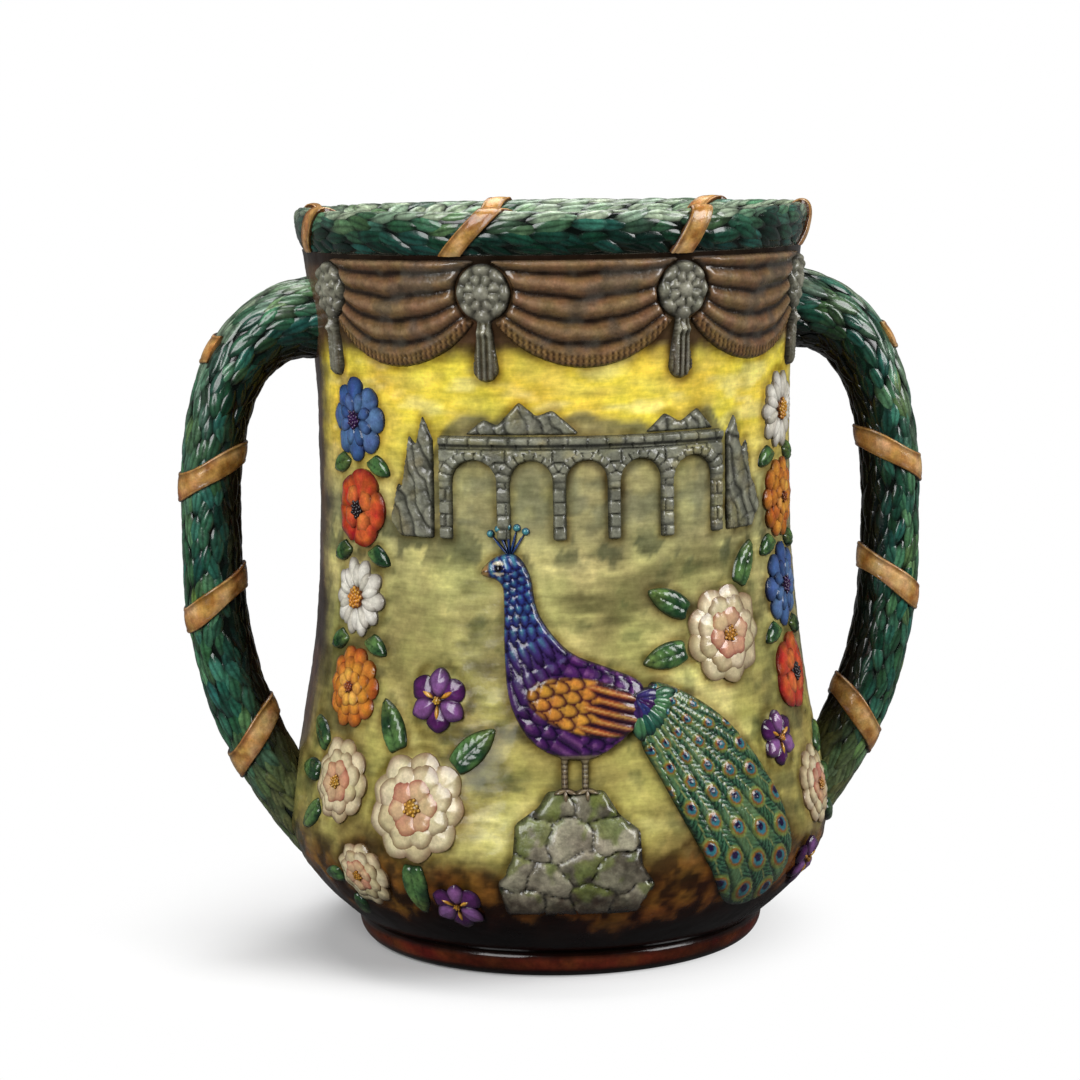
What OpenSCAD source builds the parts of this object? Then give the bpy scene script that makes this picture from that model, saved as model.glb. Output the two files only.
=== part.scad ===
// Two-handled loving cup in glazed earthenware.
// A hollow cast body stands on a turned foot ring. A laurel roll is luted on its lip, two laurel handles
// run from the neck to the belly, ribbons are bound round both, and pressed sprigs lie on the wall.
// The front faces -Y, the handles lie on +X and -X, and the origin is under the middle of the foot.
// An angle round the cup is counted from the front, positive to the right. Sprig outlines are drawn in
// millimetres, with their second coordinate as the height above the table.

/* [Body] */
// Height of the foot ring
foot_h = 10; // [8:0.5:13]
// Radius of the body where it meets the foot
base_r = 72; // [70.5:0.5:78]
// Largest radius of the belly
belly_r = 95.8; // [93:0.2:101]
// Height of the belly's largest radius
belly_z = 46; // [42:0.5:52]
// Smallest radius, at the waist
waist_r = 82.3; // [79:0.1:86]
// Height of the waist
waist_z = 178; // [168:1:190]
// Flare of the neck under the rim, beyond the waist
neck_flare = 4.3; // [2:0.1:8]
// Height of the body's top edge
neck_z = 242.5; // [238:0.5:255]
// Thickness of the wall
wall_t = 6.5; // [4.5:0.1:8.5]
// Thickness of the floor
floor_t = 7; // [5:0.5:11]

/* [Foot] */
// Largest radius of the foot ring
foot_r = 71.4; // [69:0.1:74]
// Radius where the ring starts to curve up from the table
foot_rest_r = 64.4; // [61:0.1:67]
// Inner radius of the foot ring
foot_bore_r = 54; // [46:0.5:58]
// Depth of the groove between foot and body
foot_groove = 1.6; // [0.5:0.1:3]

/* [Rim] */
// Height of the rim roll above the body's top edge
rim_h = 14.5; // [12:0.5:20]
// Overhang of the rim roll beyond the neck
rim_overhang = 2.2; // [1.4:0.1:5]
// Width of a rim ribbon
rim_ribbon_w = 8; // [5:0.5:11]
// Largest sideways run of a rim ribbon from its foot to its top
rim_ribbon_slant = 20; // [8:1:26]
// Thickness of every ribbon
ribbon_t = 0.9; // [0.5:0.1:1.5]

/* [Handles] */
// Clear gap between the waist and a handle
handle_gap = 27.2; // [23:0.1:32]
// Diameter of a handle at its farthest point
handle_d = 21.4; // [18:0.2:25]
// Diameter of a handle at the upper end of its centre line
handle_top_d = 30; // [26:0.5:33]
// Diameter of a handle at the middle of its lower sweep
handle_low_d = 22; // [20:0.5:25]
// Height of a handle's farthest point
handle_reach_z = 146.5; // [135:0.5:155]
// Drop from the body's top edge to the upper end of the centre line
handle_drop = 22.8; // [20:0.1:30]
// Height of the lower end of the centre line
handle_low_z = 30.5; // [28:0.5:36]
// Width of a handle ribbon
handle_ribbon_w = 9; // [6:0.5:12]
// Half of the rise of a handle ribbon across the handle
handle_ribbon_slant = 7; // [3:0.5:10]

/* [Relief] */
// Thickness of the drapery scallops
swag_relief = 2.2; // [1.4:0.1:3]
// Depth of a scallop at its middle
swag_drop = 35; // [28:0.5:38]
// Thickness of the rosettes
rosette_relief = 3.4; // [2.2:0.1:4.5]
// Diameter of a rosette
rosette_d = 19; // [14:0.5:24]
// Thickness of the crags
crag_relief = 1.6; // [1:0.1:2.5]
// Thickness of the bridge
bridge_relief = 2.2; // [1.4:0.1:3]
// Thickness of the perch rock
rock_relief = 2.4; // [1.4:0.1:3.2]
// Thickness of the bird's body
bird_relief = 4; // [2.5:0.1:5]
// Thickness of the bird's train
train_relief = 2.8; // [1.6:0.1:4]
// Thickness of the blooms
bloom_relief = 3; // [1.8:0.1:4]
// Thickness of the leaves
leaf_relief = 1.8; // [1:0.1:2.6]
// Clearance between a sprig and its neighbour
sprig_clear = 0.4; // [0.2:0.1:0.8]

/* [Hidden] */
$fn = 48;

// Profile of the wall: a parabola for the bowl, an eased flank up to the waist, a parabola for the neck
neck_r = waist_r + neck_flare;
flank_ease = 1.3;
flank_pull = 3.2;
bowl_steps = 6;
flank_steps = 12;
neck_steps = 4;

function bowl_r(z) = belly_r - (belly_r - base_r) * pow((belly_z - z) / (belly_z - foot_h), 2);
function flank_r(z) = let (t = (z - belly_z) / (waist_z - belly_z))
    waist_r + (belly_r - waist_r) * pow(1 - pow(t, flank_ease), flank_pull);
function flare_r(z) = waist_r + (neck_r - waist_r) * pow((z - waist_z) / (neck_z - waist_z), 2);
function between(a, b, t) = a + (b - a) * t;

wall = concat(
    [for (i = [0:bowl_steps - 1]) let (z = between(foot_h, belly_z, i / bowl_steps)) [z, bowl_r(z)]],
    [for (i = [0:flank_steps - 1]) let (z = between(belly_z, waist_z, i / flank_steps)) [z, flank_r(z)]],
    [for (i = [0:neck_steps]) let (z = between(waist_z, neck_z, i / neck_steps)) [z, flare_r(z)]]);

function wall_r(z) = lookup(z, wall);
function onto_wall(p) = let (k = wall_r(p[2]) / norm([p[0], p[1]])) [p[0] * k, p[1] * k, p[2]];

floor_z = foot_h + floor_t;

// Section of the rim roll: an oval that leans outward, cut flat where it sits on the body's top edge
rim_square = 2.2;
rim_sink = 3;
rim_lean = 2.2;
rim_steps = 24;
rim_half_h = (rim_h + rim_sink) / 2;
rim_half_w = (wall_t + rim_overhang) / 2;
rim_mid_z = neck_z + rim_h - rim_half_h;
rim_mid_r = neck_r + rim_overhang - rim_half_w;
rim_seat_angle = -asin(pow((rim_half_h - rim_sink) / rim_half_h, rim_square / 2));
rim_ribbon_steps = 17;
rim_ribbon_angles = [-75, -25, 24, 73, 126, 181, 245];
rim_ribbon_shares = [0.9, 1, 0.5, 0.7, 0.7, 0.9, 0.8];

function squared(v, n) = sign(v) * pow(abs(v), 2 / n);
function rim_point(i, grow) = let (a = rim_seat_angle + (180 - 2 * rim_seat_angle) * i / rim_steps)
    [rim_mid_r + (rim_half_w + grow) * squared(cos(a), rim_square) + rim_lean * sin(a),
     rim_mid_z + (rim_half_h + grow) * squared(sin(a), rim_square)];

// Centre line of a handle: a rounded shoulder from the neck out to the reach, then a sweep in to the belly.
// Its lower end dips a share of the diameter behind the belly's surface, so the handle tapers into it.
handle_square = 2.62;
handle_sweep = 2.54;
handle_dip = 0.66;
handle_rings = 44;
handle_sides = 24;
handle_cap_steps = 4;
ribbon_sides = 28;
ribbon_clear = 0.2;
trim_steps = 22;
handle_top_z = neck_z - handle_drop;
handle_top_x = wall_r(handle_top_z) - wall_t;
handle_low_x = wall_r(handle_low_z) - handle_dip * handle_d;
handle_reach = waist_r + handle_gap + handle_d / 2;
handle_ribbon_shares = [0.4, 0.87, 1.2, 1.62];
// First and last angle of each handle ribbon: the top one goes under the leaves, the others go right round
handle_ribbon_angles = [[-150, 34], [0, 360], [0, 360], [0, 360]];

function shoulder(t) = [between(handle_top_x, handle_reach, squared(sin(90 * t), handle_square)), 0,
                        between(handle_reach_z, handle_top_z, squared(cos(90 * t), handle_square))];
function sweep(t) = [between(handle_reach, handle_low_x, pow(t, handle_sweep)), 0,
                     between(handle_reach_z, handle_low_z, t)];
function handle_c(t) = t < 1 ? shoulder(t) : sweep(t - 1);
function handle_step(t) = handle_c(t + 0.01) - handle_c(t - 0.01);
function handle_speed(t) = norm(handle_step(t)) / 0.02;
function handle_rad(t) = (handle_d + (t < 1 ? (handle_top_d - handle_d) * pow(1 - t, 2)
                                            : (handle_low_d - handle_d) * 4 * (t - 1) * (2 - t))) / 2;
function on_handle(t, a, grow = 0) = let (step = handle_step(t), along = step / norm(step))
    handle_c(t) + (handle_rad(t) + grow) * [-along[2] * cos(a), -sin(a), along[0] * cos(a)];
function clear_of_wall(p) = norm([p[0], p[1]]) - wall_r(p[2]);
// Place on one line of the handle's surface where it leaves the wall, found by halving
function trim(a, inside, outside, n = trim_steps) = let (mid = (inside + outside) / 2)
    n == 0 ? mid : clear_of_wall(on_handle(mid, a)) < 0 ? trim(a, mid, outside, n - 1)
                                                        : trim(a, inside, mid, n - 1);

// Places and sizes of the sprigs. Those at the waist widen with it, so they keep their angles.
swag_angles = [-45, 0, 45, 135, 180, 225];
swag_end_drop = 18;
swag_gap = 1.5;
swag_top_z = neck_z - swag_gap;
swag_half_w = wall_r(swag_top_z - swag_drop) * sin(22.5) - sprig_clear;
rosette_angles = [for (i = [0:7]) 22.5 + 45 * i];
rosette_z = swag_top_z - rosette_d / 2 - 1;
tassel_h = 17;
tassel_w = 9;
bridge_rise = 6;
bridge_top_z = waist_z + bridge_rise;
bridge_h = 34;
bridge_half_angle = 35.7;
bridge_w = 2 * waist_r * sin(bridge_half_angle);
arch_count = 5;
arch_pitch = bridge_w / (arch_count + 0.2);
arch_w = arch_pitch * 0.757;
deck_t = 8;
crag_half_angle = 6.3;
crag_half_w = waist_r * sin(crag_half_angle);
crag_angle = bridge_half_angle + crag_half_angle + asin(sprig_clear / waist_r);
peony_angles = [-38, -60, -52, 62, 34];
peony_z = [62, 66, 36, 58, 116];
peony_d = [38, 30, 24, 28, 34];
peony_places = [for (i = [0:4]) [peony_angles[i], peony_z[i], peony_d[i]]];
// Directions of the leaves round each peony
peony_leaf_turns = [[45, 116, 270], [141, 179, 221], [189, 232], [1, 43, 322], [62, 151, 193]];
peony_petals = 9;
peony_leaf_long = 0.62;
peony_leaf_wide = 0.26;
iris_angles = [-34, -29, 48, 57];
iris_z = [97, 29, 78, 33];
iris_d = [24, 20, 22, 20];
iris_places = [for (i = [0:3]) [iris_angles[i], iris_z[i], iris_d[i]]];
iris_petals = 6;
festoon_angle = 60;
festoon_step = 30;
festoon_gap = 1.5;
festoon_d = festoon_step - festoon_gap;
festoon_rise = 9.5;
festoon_left = ["blue", "red", "white", "orange"];
festoon_right = ["white", "orange", "blue", "red"];
festoon_z = [for (i = [0:len(festoon_left) - 1]) waist_z + festoon_rise - i * festoon_step];
bloom_fn = 24;

// Closed smooth curve through a few points
curve_steps = 4;
function curve_point(a, b, c, d, t) = 0.5 * ((2 * b) + (c - a) * t + (2 * a - 5 * b + 4 * c - d) * t * t
                                             + (3 * b - a - 3 * c + d) * t * t * t);
function curve(p) = let (n = len(p)) [for (i = [0:n - 1]) for (k = [0:curve_steps - 1])
    curve_point(p[(i + n - 1) % n], p[i], p[(i + 1) % n], p[(i + 2) % n], k / curve_steps)];

bird_outline = [[-25, 139], [-20, 144.4], [-13, 145.6], [-8, 139], [-5, 126], [5, 114], [19, 108],
                [30, 102.4], [30, 92.6], [23, 84.5], [10, 78.4], [-6, 83], [-15, 96], [-17, 113],
                [-17, 128], [-18, 136]];
train_outline = [[-21.4, 102.6], [-8, 98], [8, 87], [22, 70.4], [31, 53], [33, 37], [26, 25.4], [14, 22.8],
                 [4, 27.4], [-6, 41], [-14, 55.6], [-21, 70.6], [-26.6, 83.6], [-21.6, 92.4]];
perch_z = 69;
rock_outline = [[-20, 27], [-23, 38.5], [-18, 47.5], [-17, 58.5], [-9, 64], [-6, perch_z], [13, perch_z],
                [18, 61], [25, 55.5], [25.5, 44.5], [30, 37], [24, 27]];
leg_w = 2.4;
leg_x = [2, 9];

// Angles of the bird, of its perch, and of the train that starts behind its rump
bird_angle = -8;
rock_angle = -6;
train_gap = 1.3;
rump = bird_outline[8];
train_root = train_outline[13];
train_angle = bird_angle + asin((rump[0] + train_gap) / wall_r(rump[1]))
              - asin(train_root[0] / wall_r(train_root[1]));

// A pad of even thickness on the wall, cut to the outline that it is given
module sprig(angle, relief, low, high) {
    heights = concat([low], [for (p = wall) if (p[0] > low && p[0] < high) p[0]], [high]);
    back = [for (z = heights) [wall_r(z), z]];
    front = [for (i = [len(heights) - 1:-1:0]) [wall_r(heights[i]) + relief, heights[i]]];
    intersection() {
        rotate([0, 0, angle])
            rotate([90, 0, 0])
                linear_extrude(height = belly_r + neck_r)
                    children();
        rotate_extrude($fn = 96)
            polygon(concat(back, front));
    }
}

// The same relief on the front and on the back
module both_faces() {
    for (turn = [0, 180])
        rotate([0, 0, turn])
            children();
}

module bloom_outline(d, petals) {
    circle(d = d * 0.62, $fn = bloom_fn);
    for (i = [0:petals - 1])
        rotate(i * 360 / petals)
            translate([d * 0.29, 0])
                circle(d = d * 0.42, $fn = bloom_fn);
}

module leaf_outline(length, width) {
    radius = (length * length + width * width) / (4 * width);
    intersection() {
        translate([0, radius - width / 2])
            circle(radius);
        translate([0, width / 2 - radius])
            circle(radius);
    }
}

module bloom(place, petals) {
    d = place[2];
    sprig(place[0], bloom_relief, place[1] - d, place[1] + d)
        translate([0, place[1]])
            bloom_outline(d, petals);
}

// Room for a bloom, taken out of the leaves behind it
module bloom_room(place) {
    rotate([0, 0, place[0]])
        translate([0, 0, place[1]])
            rotate([90, 0, 0])
                cylinder(d = place[2] + 2 * sprig_clear, h = belly_r + neck_r);
}

// Leaves that stand out behind a bloom like a fan
module leaf_fan(place, turns) {
    middle = place[2] / 2;
    length = place[2] * peony_leaf_long;
    width = place[2] * peony_leaf_wide;
    sprig(place[0], leaf_relief, place[1] - middle - length, place[1] + middle + length)
        for (turn = turns)
            translate([0, place[1]])
                rotate(turn)
                    translate([middle + length * 0.3, 0])
                        leaf_outline(length, width);
}

module cup_body() {
    outside = [for (p = wall) [p[1], p[0]]];
    inside = [for (i = [len(wall) - 1:-1:0]) if (wall[i][0] > floor_z) [wall[i][1] - wall_t, wall[i][0]]];
    color("#cdbf62")
        rotate_extrude($fn = 96)
            polygon(concat(outside, inside,
                           [[wall_r(floor_z) - wall_t, floor_z], [0, floor_z], [0, foot_h]]));
}

module foot_ring() {
    shoulder_z = foot_h * 0.75;
    edge = 1.5;
    curve_in = [for (a = [0:15:90])
        [foot_rest_r + (foot_r - foot_rest_r) * sin(a), shoulder_z * (1 - cos(a))]];
    color("#3a1a10")
        rotate_extrude($fn = 96)
            polygon(concat([[foot_bore_r, edge], [foot_bore_r + edge, 0]], curve_in,
                           [[foot_r - foot_groove, foot_h], [foot_bore_r, foot_h]]));
}

module rim_garland() {
    color("#3b5548")
        rotate_extrude($fn = 96)
            polygon([for (i = [0:rim_steps]) rim_point(i, 0)]);
}

module rim_ribbons() {
    inner = [for (i = [0:rim_ribbon_steps]) rim_point(i, 0)];
    outer = [for (i = [rim_ribbon_steps:-1:0]) rim_point(i, ribbon_t)];
    half = rim_ribbon_w / 2;
    low = neck_z - rim_sink;
    high = neck_z + rim_h + rim_sink;
    color("#a9825f")
        for (i = [0:len(rim_ribbon_angles) - 1])
            let (run = rim_ribbon_slant * rim_ribbon_shares[i] / 2)
                intersection() {
                    rotate([0, 0, rim_ribbon_angles[i]])
                        rotate([90, 0, 0])
                            linear_extrude(height = belly_r + neck_r)
                                polygon([[-run - half, low], [half - run, low],
                                         [run + half, high], [run - half, high]]);
                    rotate_extrude($fn = 96)
                        polygon(concat(inner, outer));
                }
}

// One handle on the right: rings along its surface, trimmed to the wall, and closed by rings along the wall
module handle_shape() {
    n = handle_sides;
    turns = [for (j = [0:n - 1]) 360 * j / n];
    starts = [for (a = turns) trim(a, 0, 0.6)];
    ends = [for (a = turns) trim(a, 2, 1.4)];
    skin = [for (i = [0:handle_rings]) [for (j = [0:n - 1])
        on_handle(between(starts[j], ends[j], i / handle_rings), turns[j])]];
    first = skin[0];
    last = skin[handle_rings];
    middle = function (ring) [for (k = [0:2]) [for (p = ring) p[k]] * [for (p = ring) 1 / n]];
    cap = function (ring, share) let (m = middle(ring)) [for (p = ring) onto_wall(between(m, p, share))];
    rings = concat([for (s = [1:handle_cap_steps - 1]) cap(first, s / handle_cap_steps)], skin,
                   [for (s = [handle_cap_steps - 1:-1:1]) cap(last, s / handle_cap_steps)]);
    points = concat([for (ring = rings) each ring], [onto_wall(middle(first)), onto_wall(middle(last))]);
    end = (len(rings) - 1) * n;
    sides = [for (i = [0:len(rings) - 2]) for (j = [0:n - 1]) let (k = (j + 1) % n, a = i * n, b = a + n)
        for (f = [[a + j, a + k, b + k], [a + j, b + k, b + j]]) f];
    tips = [for (j = [0:n - 1]) let (k = (j + 1) % n)
        for (f = [[k, j, end + n], [end + j, end + k, end + n + 1]]) f];
    polyhedron(points, concat(sides, tips));
}

// A slanted band on the right handle's surface, closed on itself where it goes right round
module handle_band(share, from, to) {
    n = ribbon_sides;
    speed = handle_speed(share);
    closed = to - from == 360;
    rows = closed ? n : n + 1;
    points = [for (j = [0:rows - 1]) let (a = between(from, to, j / n), lean = handle_ribbon_slant * cos(a))
        for (corner = [[-1, 0], [1, 0], [1, 1], [-1, 1]])
            on_handle(share + (lean + corner[0] * handle_ribbon_w / 2) / speed, a,
                      ribbon_clear + corner[1] * ribbon_t)];
    faces = [for (j = [0:n - 1]) for (c = [0:3]) let (k = (j + 1) % rows, d = (c + 1) % 4)
        for (f = [[4 * j + c, 4 * k + c, 4 * k + d], [4 * j + c, 4 * k + d, 4 * j + d]]) f];
    ends = closed ? [] : [[0, 1, 2], [0, 2, 3], [4 * n + 2, 4 * n + 1, 4 * n], [4 * n + 3, 4 * n + 2, 4 * n]];
    polyhedron(points, concat(faces, ends));
}

// Ribbons bound round the right handle
module handle_ribbon_shapes() {
    for (i = [0:len(handle_ribbon_shares) - 1])
        handle_band(handle_ribbon_shares[i], handle_ribbon_angles[i][0], handle_ribbon_angles[i][1]);
}

module left_handle() {
    color("#325147")
        mirror([1, 0, 0])
            handle_shape();
}

module right_handle() {
    color("#325147")
        handle_shape();
}

module left_handle_ribbons() {
    color("#8e6e3e")
        mirror([1, 0, 0])
            handle_ribbon_shapes();
}

module right_handle_ribbons() {
    color("#8e6e3e")
        handle_ribbon_shapes();
}

module swag_outline() {
    sag = swag_drop - swag_end_drop;
    radius = (swag_half_w * swag_half_w + sag * sag) / (2 * sag);
    intersection() {
        translate([-swag_half_w, swag_top_z - swag_drop])
            square([2 * swag_half_w, swag_drop]);
        translate([0, swag_top_z - swag_drop + radius])
            circle(radius);
    }
}

module rosette_outline(grow) {
    translate([0, rosette_z])
        circle(d = rosette_d + 2 * grow);
    tassel_top = rosette_z - rosette_d / 2 + 2;
    tassel_z = tassel_top - tassel_h;
    half = tassel_w / 2 + grow;
    polygon([[-half / 2, tassel_top], [half / 2, tassel_top], [half, tassel_z], [-half, tassel_z]]);
    translate([0, tassel_z])
        circle(r = half);
}

module frieze_swags() {
    color("#6a523a")
        for (angle = swag_angles)
            difference() {
                sprig(angle, swag_relief, swag_top_z - swag_drop, swag_top_z)
                    swag_outline();
                for (side = [-22.5, 22.5])
                    rotate([0, 0, angle + side])
                        rotate([90, 0, 0])
                            linear_extrude(height = belly_r + neck_r)
                                rosette_outline(sprig_clear);
            }
}

module frieze_rosettes() {
    color("#7f7c71")
        for (angle = rosette_angles)
            sprig(angle, rosette_relief, rosette_z - rosette_d - tassel_h, swag_top_z)
                rosette_outline(0);
}

// A line of rocks: each corner is given as shares of a width and of a height
module crag_outline(low, width, height, corners) {
    polygon([for (c = corners) [c[0] * width, low + c[1] * height]]);
}

module crags() {
    low = bridge_top_z - bridge_h;
    deck = bridge_top_z + sprig_clear;
    high = bridge_top_z + bridge_h;
    color("#6e6d5c")
        both_faces() {
            sprig(-crag_angle, crag_relief, low, high)
                crag_outline(low, crag_half_w, bridge_h,
                             [[-1, 0.15], [-0.67, 0.52], [-0.45, 0.48], [-0.1, 0.99], [0.22, 0.9],
                              [0.55, 1.19], [1, 0.95], [1, 0], [-0.55, 0]]);
            sprig(crag_angle, crag_relief, low, high)
                crag_outline(low, crag_half_w, bridge_h,
                             [[1, 0.21], [0.67, 0.43], [0.45, 0.48], [0.22, 0.87], [-0.1, 0.78],
                              [-0.55, 1.13], [-1, 0.95], [-1, 0], [0.45, 0]]);
            sprig(-14, crag_relief, low, high)
                crag_outline(deck, arch_pitch, bridge_h,
                             [[-1.1, 0], [-0.75, 0.15], [-0.5, 0.09], [-0.1, 0.32], [0.22, 0.18], [0.5, 0.24],
                              [1, 0]]);
            sprig(22, crag_relief, low, high)
                crag_outline(deck, arch_pitch, bridge_h,
                             [[-0.65, 0], [-0.27, 0.18], [0.05, 0.09], [0.43, 0.21], [0.8, 0]]);
        }
}

module stone_bridge() {
    low = bridge_top_z - bridge_h;
    spring = bridge_top_z - deck_t - arch_w / 2;
    color("#82857a")
        both_faces()
            sprig(0, bridge_relief, low, bridge_top_z)
                difference() {
                    translate([-bridge_w / 2, low])
                        square([bridge_w, bridge_h]);
                    for (i = [0:arch_count - 1])
                        translate([(i - (arch_count - 1) / 2) * arch_pitch, 0]) {
                            translate([0, spring])
                                circle(d = arch_w);
                            translate([-arch_w / 2, low - 1])
                                square([arch_w, spring - low + 1]);
                        }
                }
}

module perch_rock() {
    color("#5f5e51")
        both_faces()
            sprig(rock_angle, rock_relief, foot_h, waist_z)
                polygon(rock_outline);
}

module peacock_body() {
    foot_z = perch_z + sprig_clear;
    color("#34102d")
        both_faces()
            sprig(bird_angle, bird_relief, belly_z, waist_z) {
                polygon(curve(bird_outline));
                for (x = leg_x)
                    translate([x, foot_z])
                        square([leg_w, bird_outline[10][1] - foot_z + leg_w]);
            }
}

module peacock_train() {
    color("#35553c")
        both_faces()
            sprig(train_angle, train_relief, foot_h, waist_z)
                polygon(curve(train_outline));
}

module peonies() {
    color("#a18f67")
        both_faces()
            for (place = peony_places)
                bloom(place, peony_petals);
}

module irises() {
    color("#43204a")
        both_faces()
            for (place = iris_places)
                bloom(place, iris_petals);
}

module peony_leaves() {
    color("#35553c")
        both_faces()
            difference() {
                for (i = [0:len(peony_places) - 1])
                    leaf_fan(peony_places[i], peony_leaf_turns[i]);
                for (place = concat(peony_places, iris_places))
                    bloom_room(place);
            }
}

// Blooms of one colour in the festoons beside the handles
module festoon_blooms(name, petals) {
    both_faces()
        for (i = [0:len(festoon_z) - 1]) {
            if (festoon_left[i] == name)
                bloom([-festoon_angle, festoon_z[i], festoon_d], petals);
            if (festoon_right[i] == name)
                bloom([festoon_angle, festoon_z[i], festoon_d], petals);
        }
}

module blue_blooms() {
    color("#516e87")
        festoon_blooms("blue", 8);
}

module red_blooms() {
    color("#b54e2e")
        festoon_blooms("red", 5);
}

module white_blooms() {
    color("#c8c2b0")
        festoon_blooms("white", 10);
}

module orange_blooms() {
    color("#a0652a")
        festoon_blooms("orange", 7);
}

module festoon_leaves() {
    length = festoon_d * 0.5;
    width = festoon_d * 0.24;
    reach = festoon_d * 0.36;
    color("#35553c")
        both_faces()
            for (side = [-festoon_angle, festoon_angle])
                difference() {
                    sprig(side, leaf_relief, festoon_z[len(festoon_z) - 1] - length, festoon_z[0] + length)
                        for (i = [0:len(festoon_z) - 2])
                            for (hand = [-1, 1])
                                translate([hand * reach, (festoon_z[i] + festoon_z[i + 1]) / 2])
                                    rotate(-hand * 25)
                                        leaf_outline(length, width);
                    for (z = festoon_z)
                        bloom_room([side, z, festoon_d]);
                }
}

cup_body();
foot_ring();
rim_garland();
rim_ribbons();
left_handle();
right_handle();
left_handle_ribbons();
right_handle_ribbons();
frieze_swags();
frieze_rosettes();
crags();
stone_bridge();
perch_rock();
peacock_body();
peacock_train();
peonies();
peony_leaves();
irises();
blue_blooms();
red_blooms();
white_blooms();
orange_blooms();
festoon_leaves();
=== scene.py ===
from math import asin, cos, degrees, hypot, pi, radians, sin, sqrt, tau

import bmesh
import bpy
import numpy as np
from mathutils import Matrix, Vector, kdtree, noise
from mathutils.geometry import delaunay_2d_cdt


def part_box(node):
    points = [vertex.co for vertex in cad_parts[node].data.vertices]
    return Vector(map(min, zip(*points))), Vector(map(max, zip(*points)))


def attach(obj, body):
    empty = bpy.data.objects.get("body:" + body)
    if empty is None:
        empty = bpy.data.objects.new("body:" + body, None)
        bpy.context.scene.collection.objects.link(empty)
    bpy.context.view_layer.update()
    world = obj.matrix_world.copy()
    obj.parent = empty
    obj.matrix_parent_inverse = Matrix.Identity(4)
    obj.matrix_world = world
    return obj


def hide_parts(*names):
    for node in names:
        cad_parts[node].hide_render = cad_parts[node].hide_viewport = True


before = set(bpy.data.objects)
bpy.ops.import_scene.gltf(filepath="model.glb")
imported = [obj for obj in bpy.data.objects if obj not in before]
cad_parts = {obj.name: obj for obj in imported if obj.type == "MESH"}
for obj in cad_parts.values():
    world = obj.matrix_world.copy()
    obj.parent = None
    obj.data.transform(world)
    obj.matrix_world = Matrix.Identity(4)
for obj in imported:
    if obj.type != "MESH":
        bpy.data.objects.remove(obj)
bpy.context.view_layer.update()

# Lengths are in millimetres. Angles round the cup are counted from its front, positive to the right.
MM = 0.001
RNG = np.random.default_rng(11)

FOOT_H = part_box("foot_ring")[1].z / MM
FOOT_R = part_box("foot_ring")[1].x / MM
NECK_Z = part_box("cup_body")[1].z / MM
BELLY_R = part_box("cup_body")[1].x / MM
RIM_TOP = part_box("rim_garland")[1].z / MM
BASE_R = 72
BELLY_Z = 46
WAIST_R = 82.3
WAIST_Z = 178
NECK_R = 86.6
WALL_T = 6.5
FLOOR_Z = FOOT_H + 7


# Colours and numbers

def ink(red, green, blue):
    """Linear colour from the 0 to 255 values of a screen colour."""
    c = np.array([red, green, blue]) / 255
    return np.where(c <= 0.04045, c / 12.92, ((c + 0.055) / 1.055) ** 2.4)


def blend(a, b, share):
    return a + (b - a) * share


def mix(a, b, share):
    """Colours part of the way from one to another, with one share or a share for each point."""
    share = np.asarray(share, float)
    return blend(a, b, share[:, None] if share.ndim else share)


def layered(colour, *washes):
    """A colour under washes, each of them a colour and its share."""
    for tint, share in washes:
        colour = mix(colour, tint, share)
    return colour


def ease(low, high, value):
    """Smooth step from 0 at low to 1 at high, where low may be the larger."""
    t = np.clip((value - low) / (high - low), 0, 1)
    return t * t * (3 - 2 * t)


def wave(turns):
    return 0.5 + 0.5 * np.cos(tau * turns)


def part_of(value):
    return value - np.floor(value)


def seam(value, start, full=0.98):
    """1 at the joints between equal parts and 0 within each part."""
    return ease(start, full, abs(2 * part_of(value) - 1))


def rounded(depth, width):
    """Quarter round from 0 at an edge to 1 at a width from it."""
    t = np.clip(depth / width, 0, 1)
    return np.sqrt(1 - (1 - t) ** 2)


def squared(value, power):
    return np.sign(value) * abs(value) ** (2 / power)


def pair(a, b):
    return np.stack([a, b], -1)


def bumps(points, size, octaves=3, seed=0):
    """Smooth noise from about -1 to 1 at points of two or three coordinates."""
    flat = np.zeros((len(points), 3))
    flat[:, : points.shape[1]] = points / size
    flat += seed * 7.31
    return np.array([noise.fractal(Vector(p), 0.9, 2, octaves) for p in flat])


def run_along(line):
    """Length along a line of points, up to each of them."""
    return np.concatenate([[0], np.cumsum(np.hypot(*np.diff(line, axis=0).T))])


def smoothed(values, weights):
    return np.convolve(np.pad(values, len(weights) // 2, mode="edge"), weights, "valid")


# The wall and the places on it

def wall_r(z):
    z = np.asarray(z, float)
    bowl = BELLY_R - (BELLY_R - BASE_R) * ((BELLY_Z - z) / (BELLY_Z - FOOT_H)) ** 2
    t = np.clip((z - BELLY_Z) / (WAIST_Z - BELLY_Z), 0, 1)
    flank = WAIST_R + (BELLY_R - WAIST_R) * (1 - t ** 1.3) ** 3.2
    flare = WAIST_R + (NECK_R - WAIST_R) * ((z - WAIST_Z) / (NECK_Z - WAIST_Z)) ** 2
    return np.where(z < BELLY_Z, bowl, np.where(z < WAIST_Z, flank, flare))


def round_point(r, turn, z):
    return np.stack([r * np.sin(turn), -r * np.cos(turn), z], -1)


def wall_at(angle, height):
    """Patch of the wall round one point: across, up and out of it."""
    def place(u, v, h):
        z = height + v
        r = wall_r(z)
        return round_point(r + h, radians(angle) + u / r, z)
    return place


def moved(place, across, up):
    return lambda u, v, h: place(u + across, v + up, h)


def middle_of(place):
    return place(np.zeros(1), np.zeros(1), np.zeros(1))[0]


# The rim roll: an oval section that leans outward, run round the lip

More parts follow.
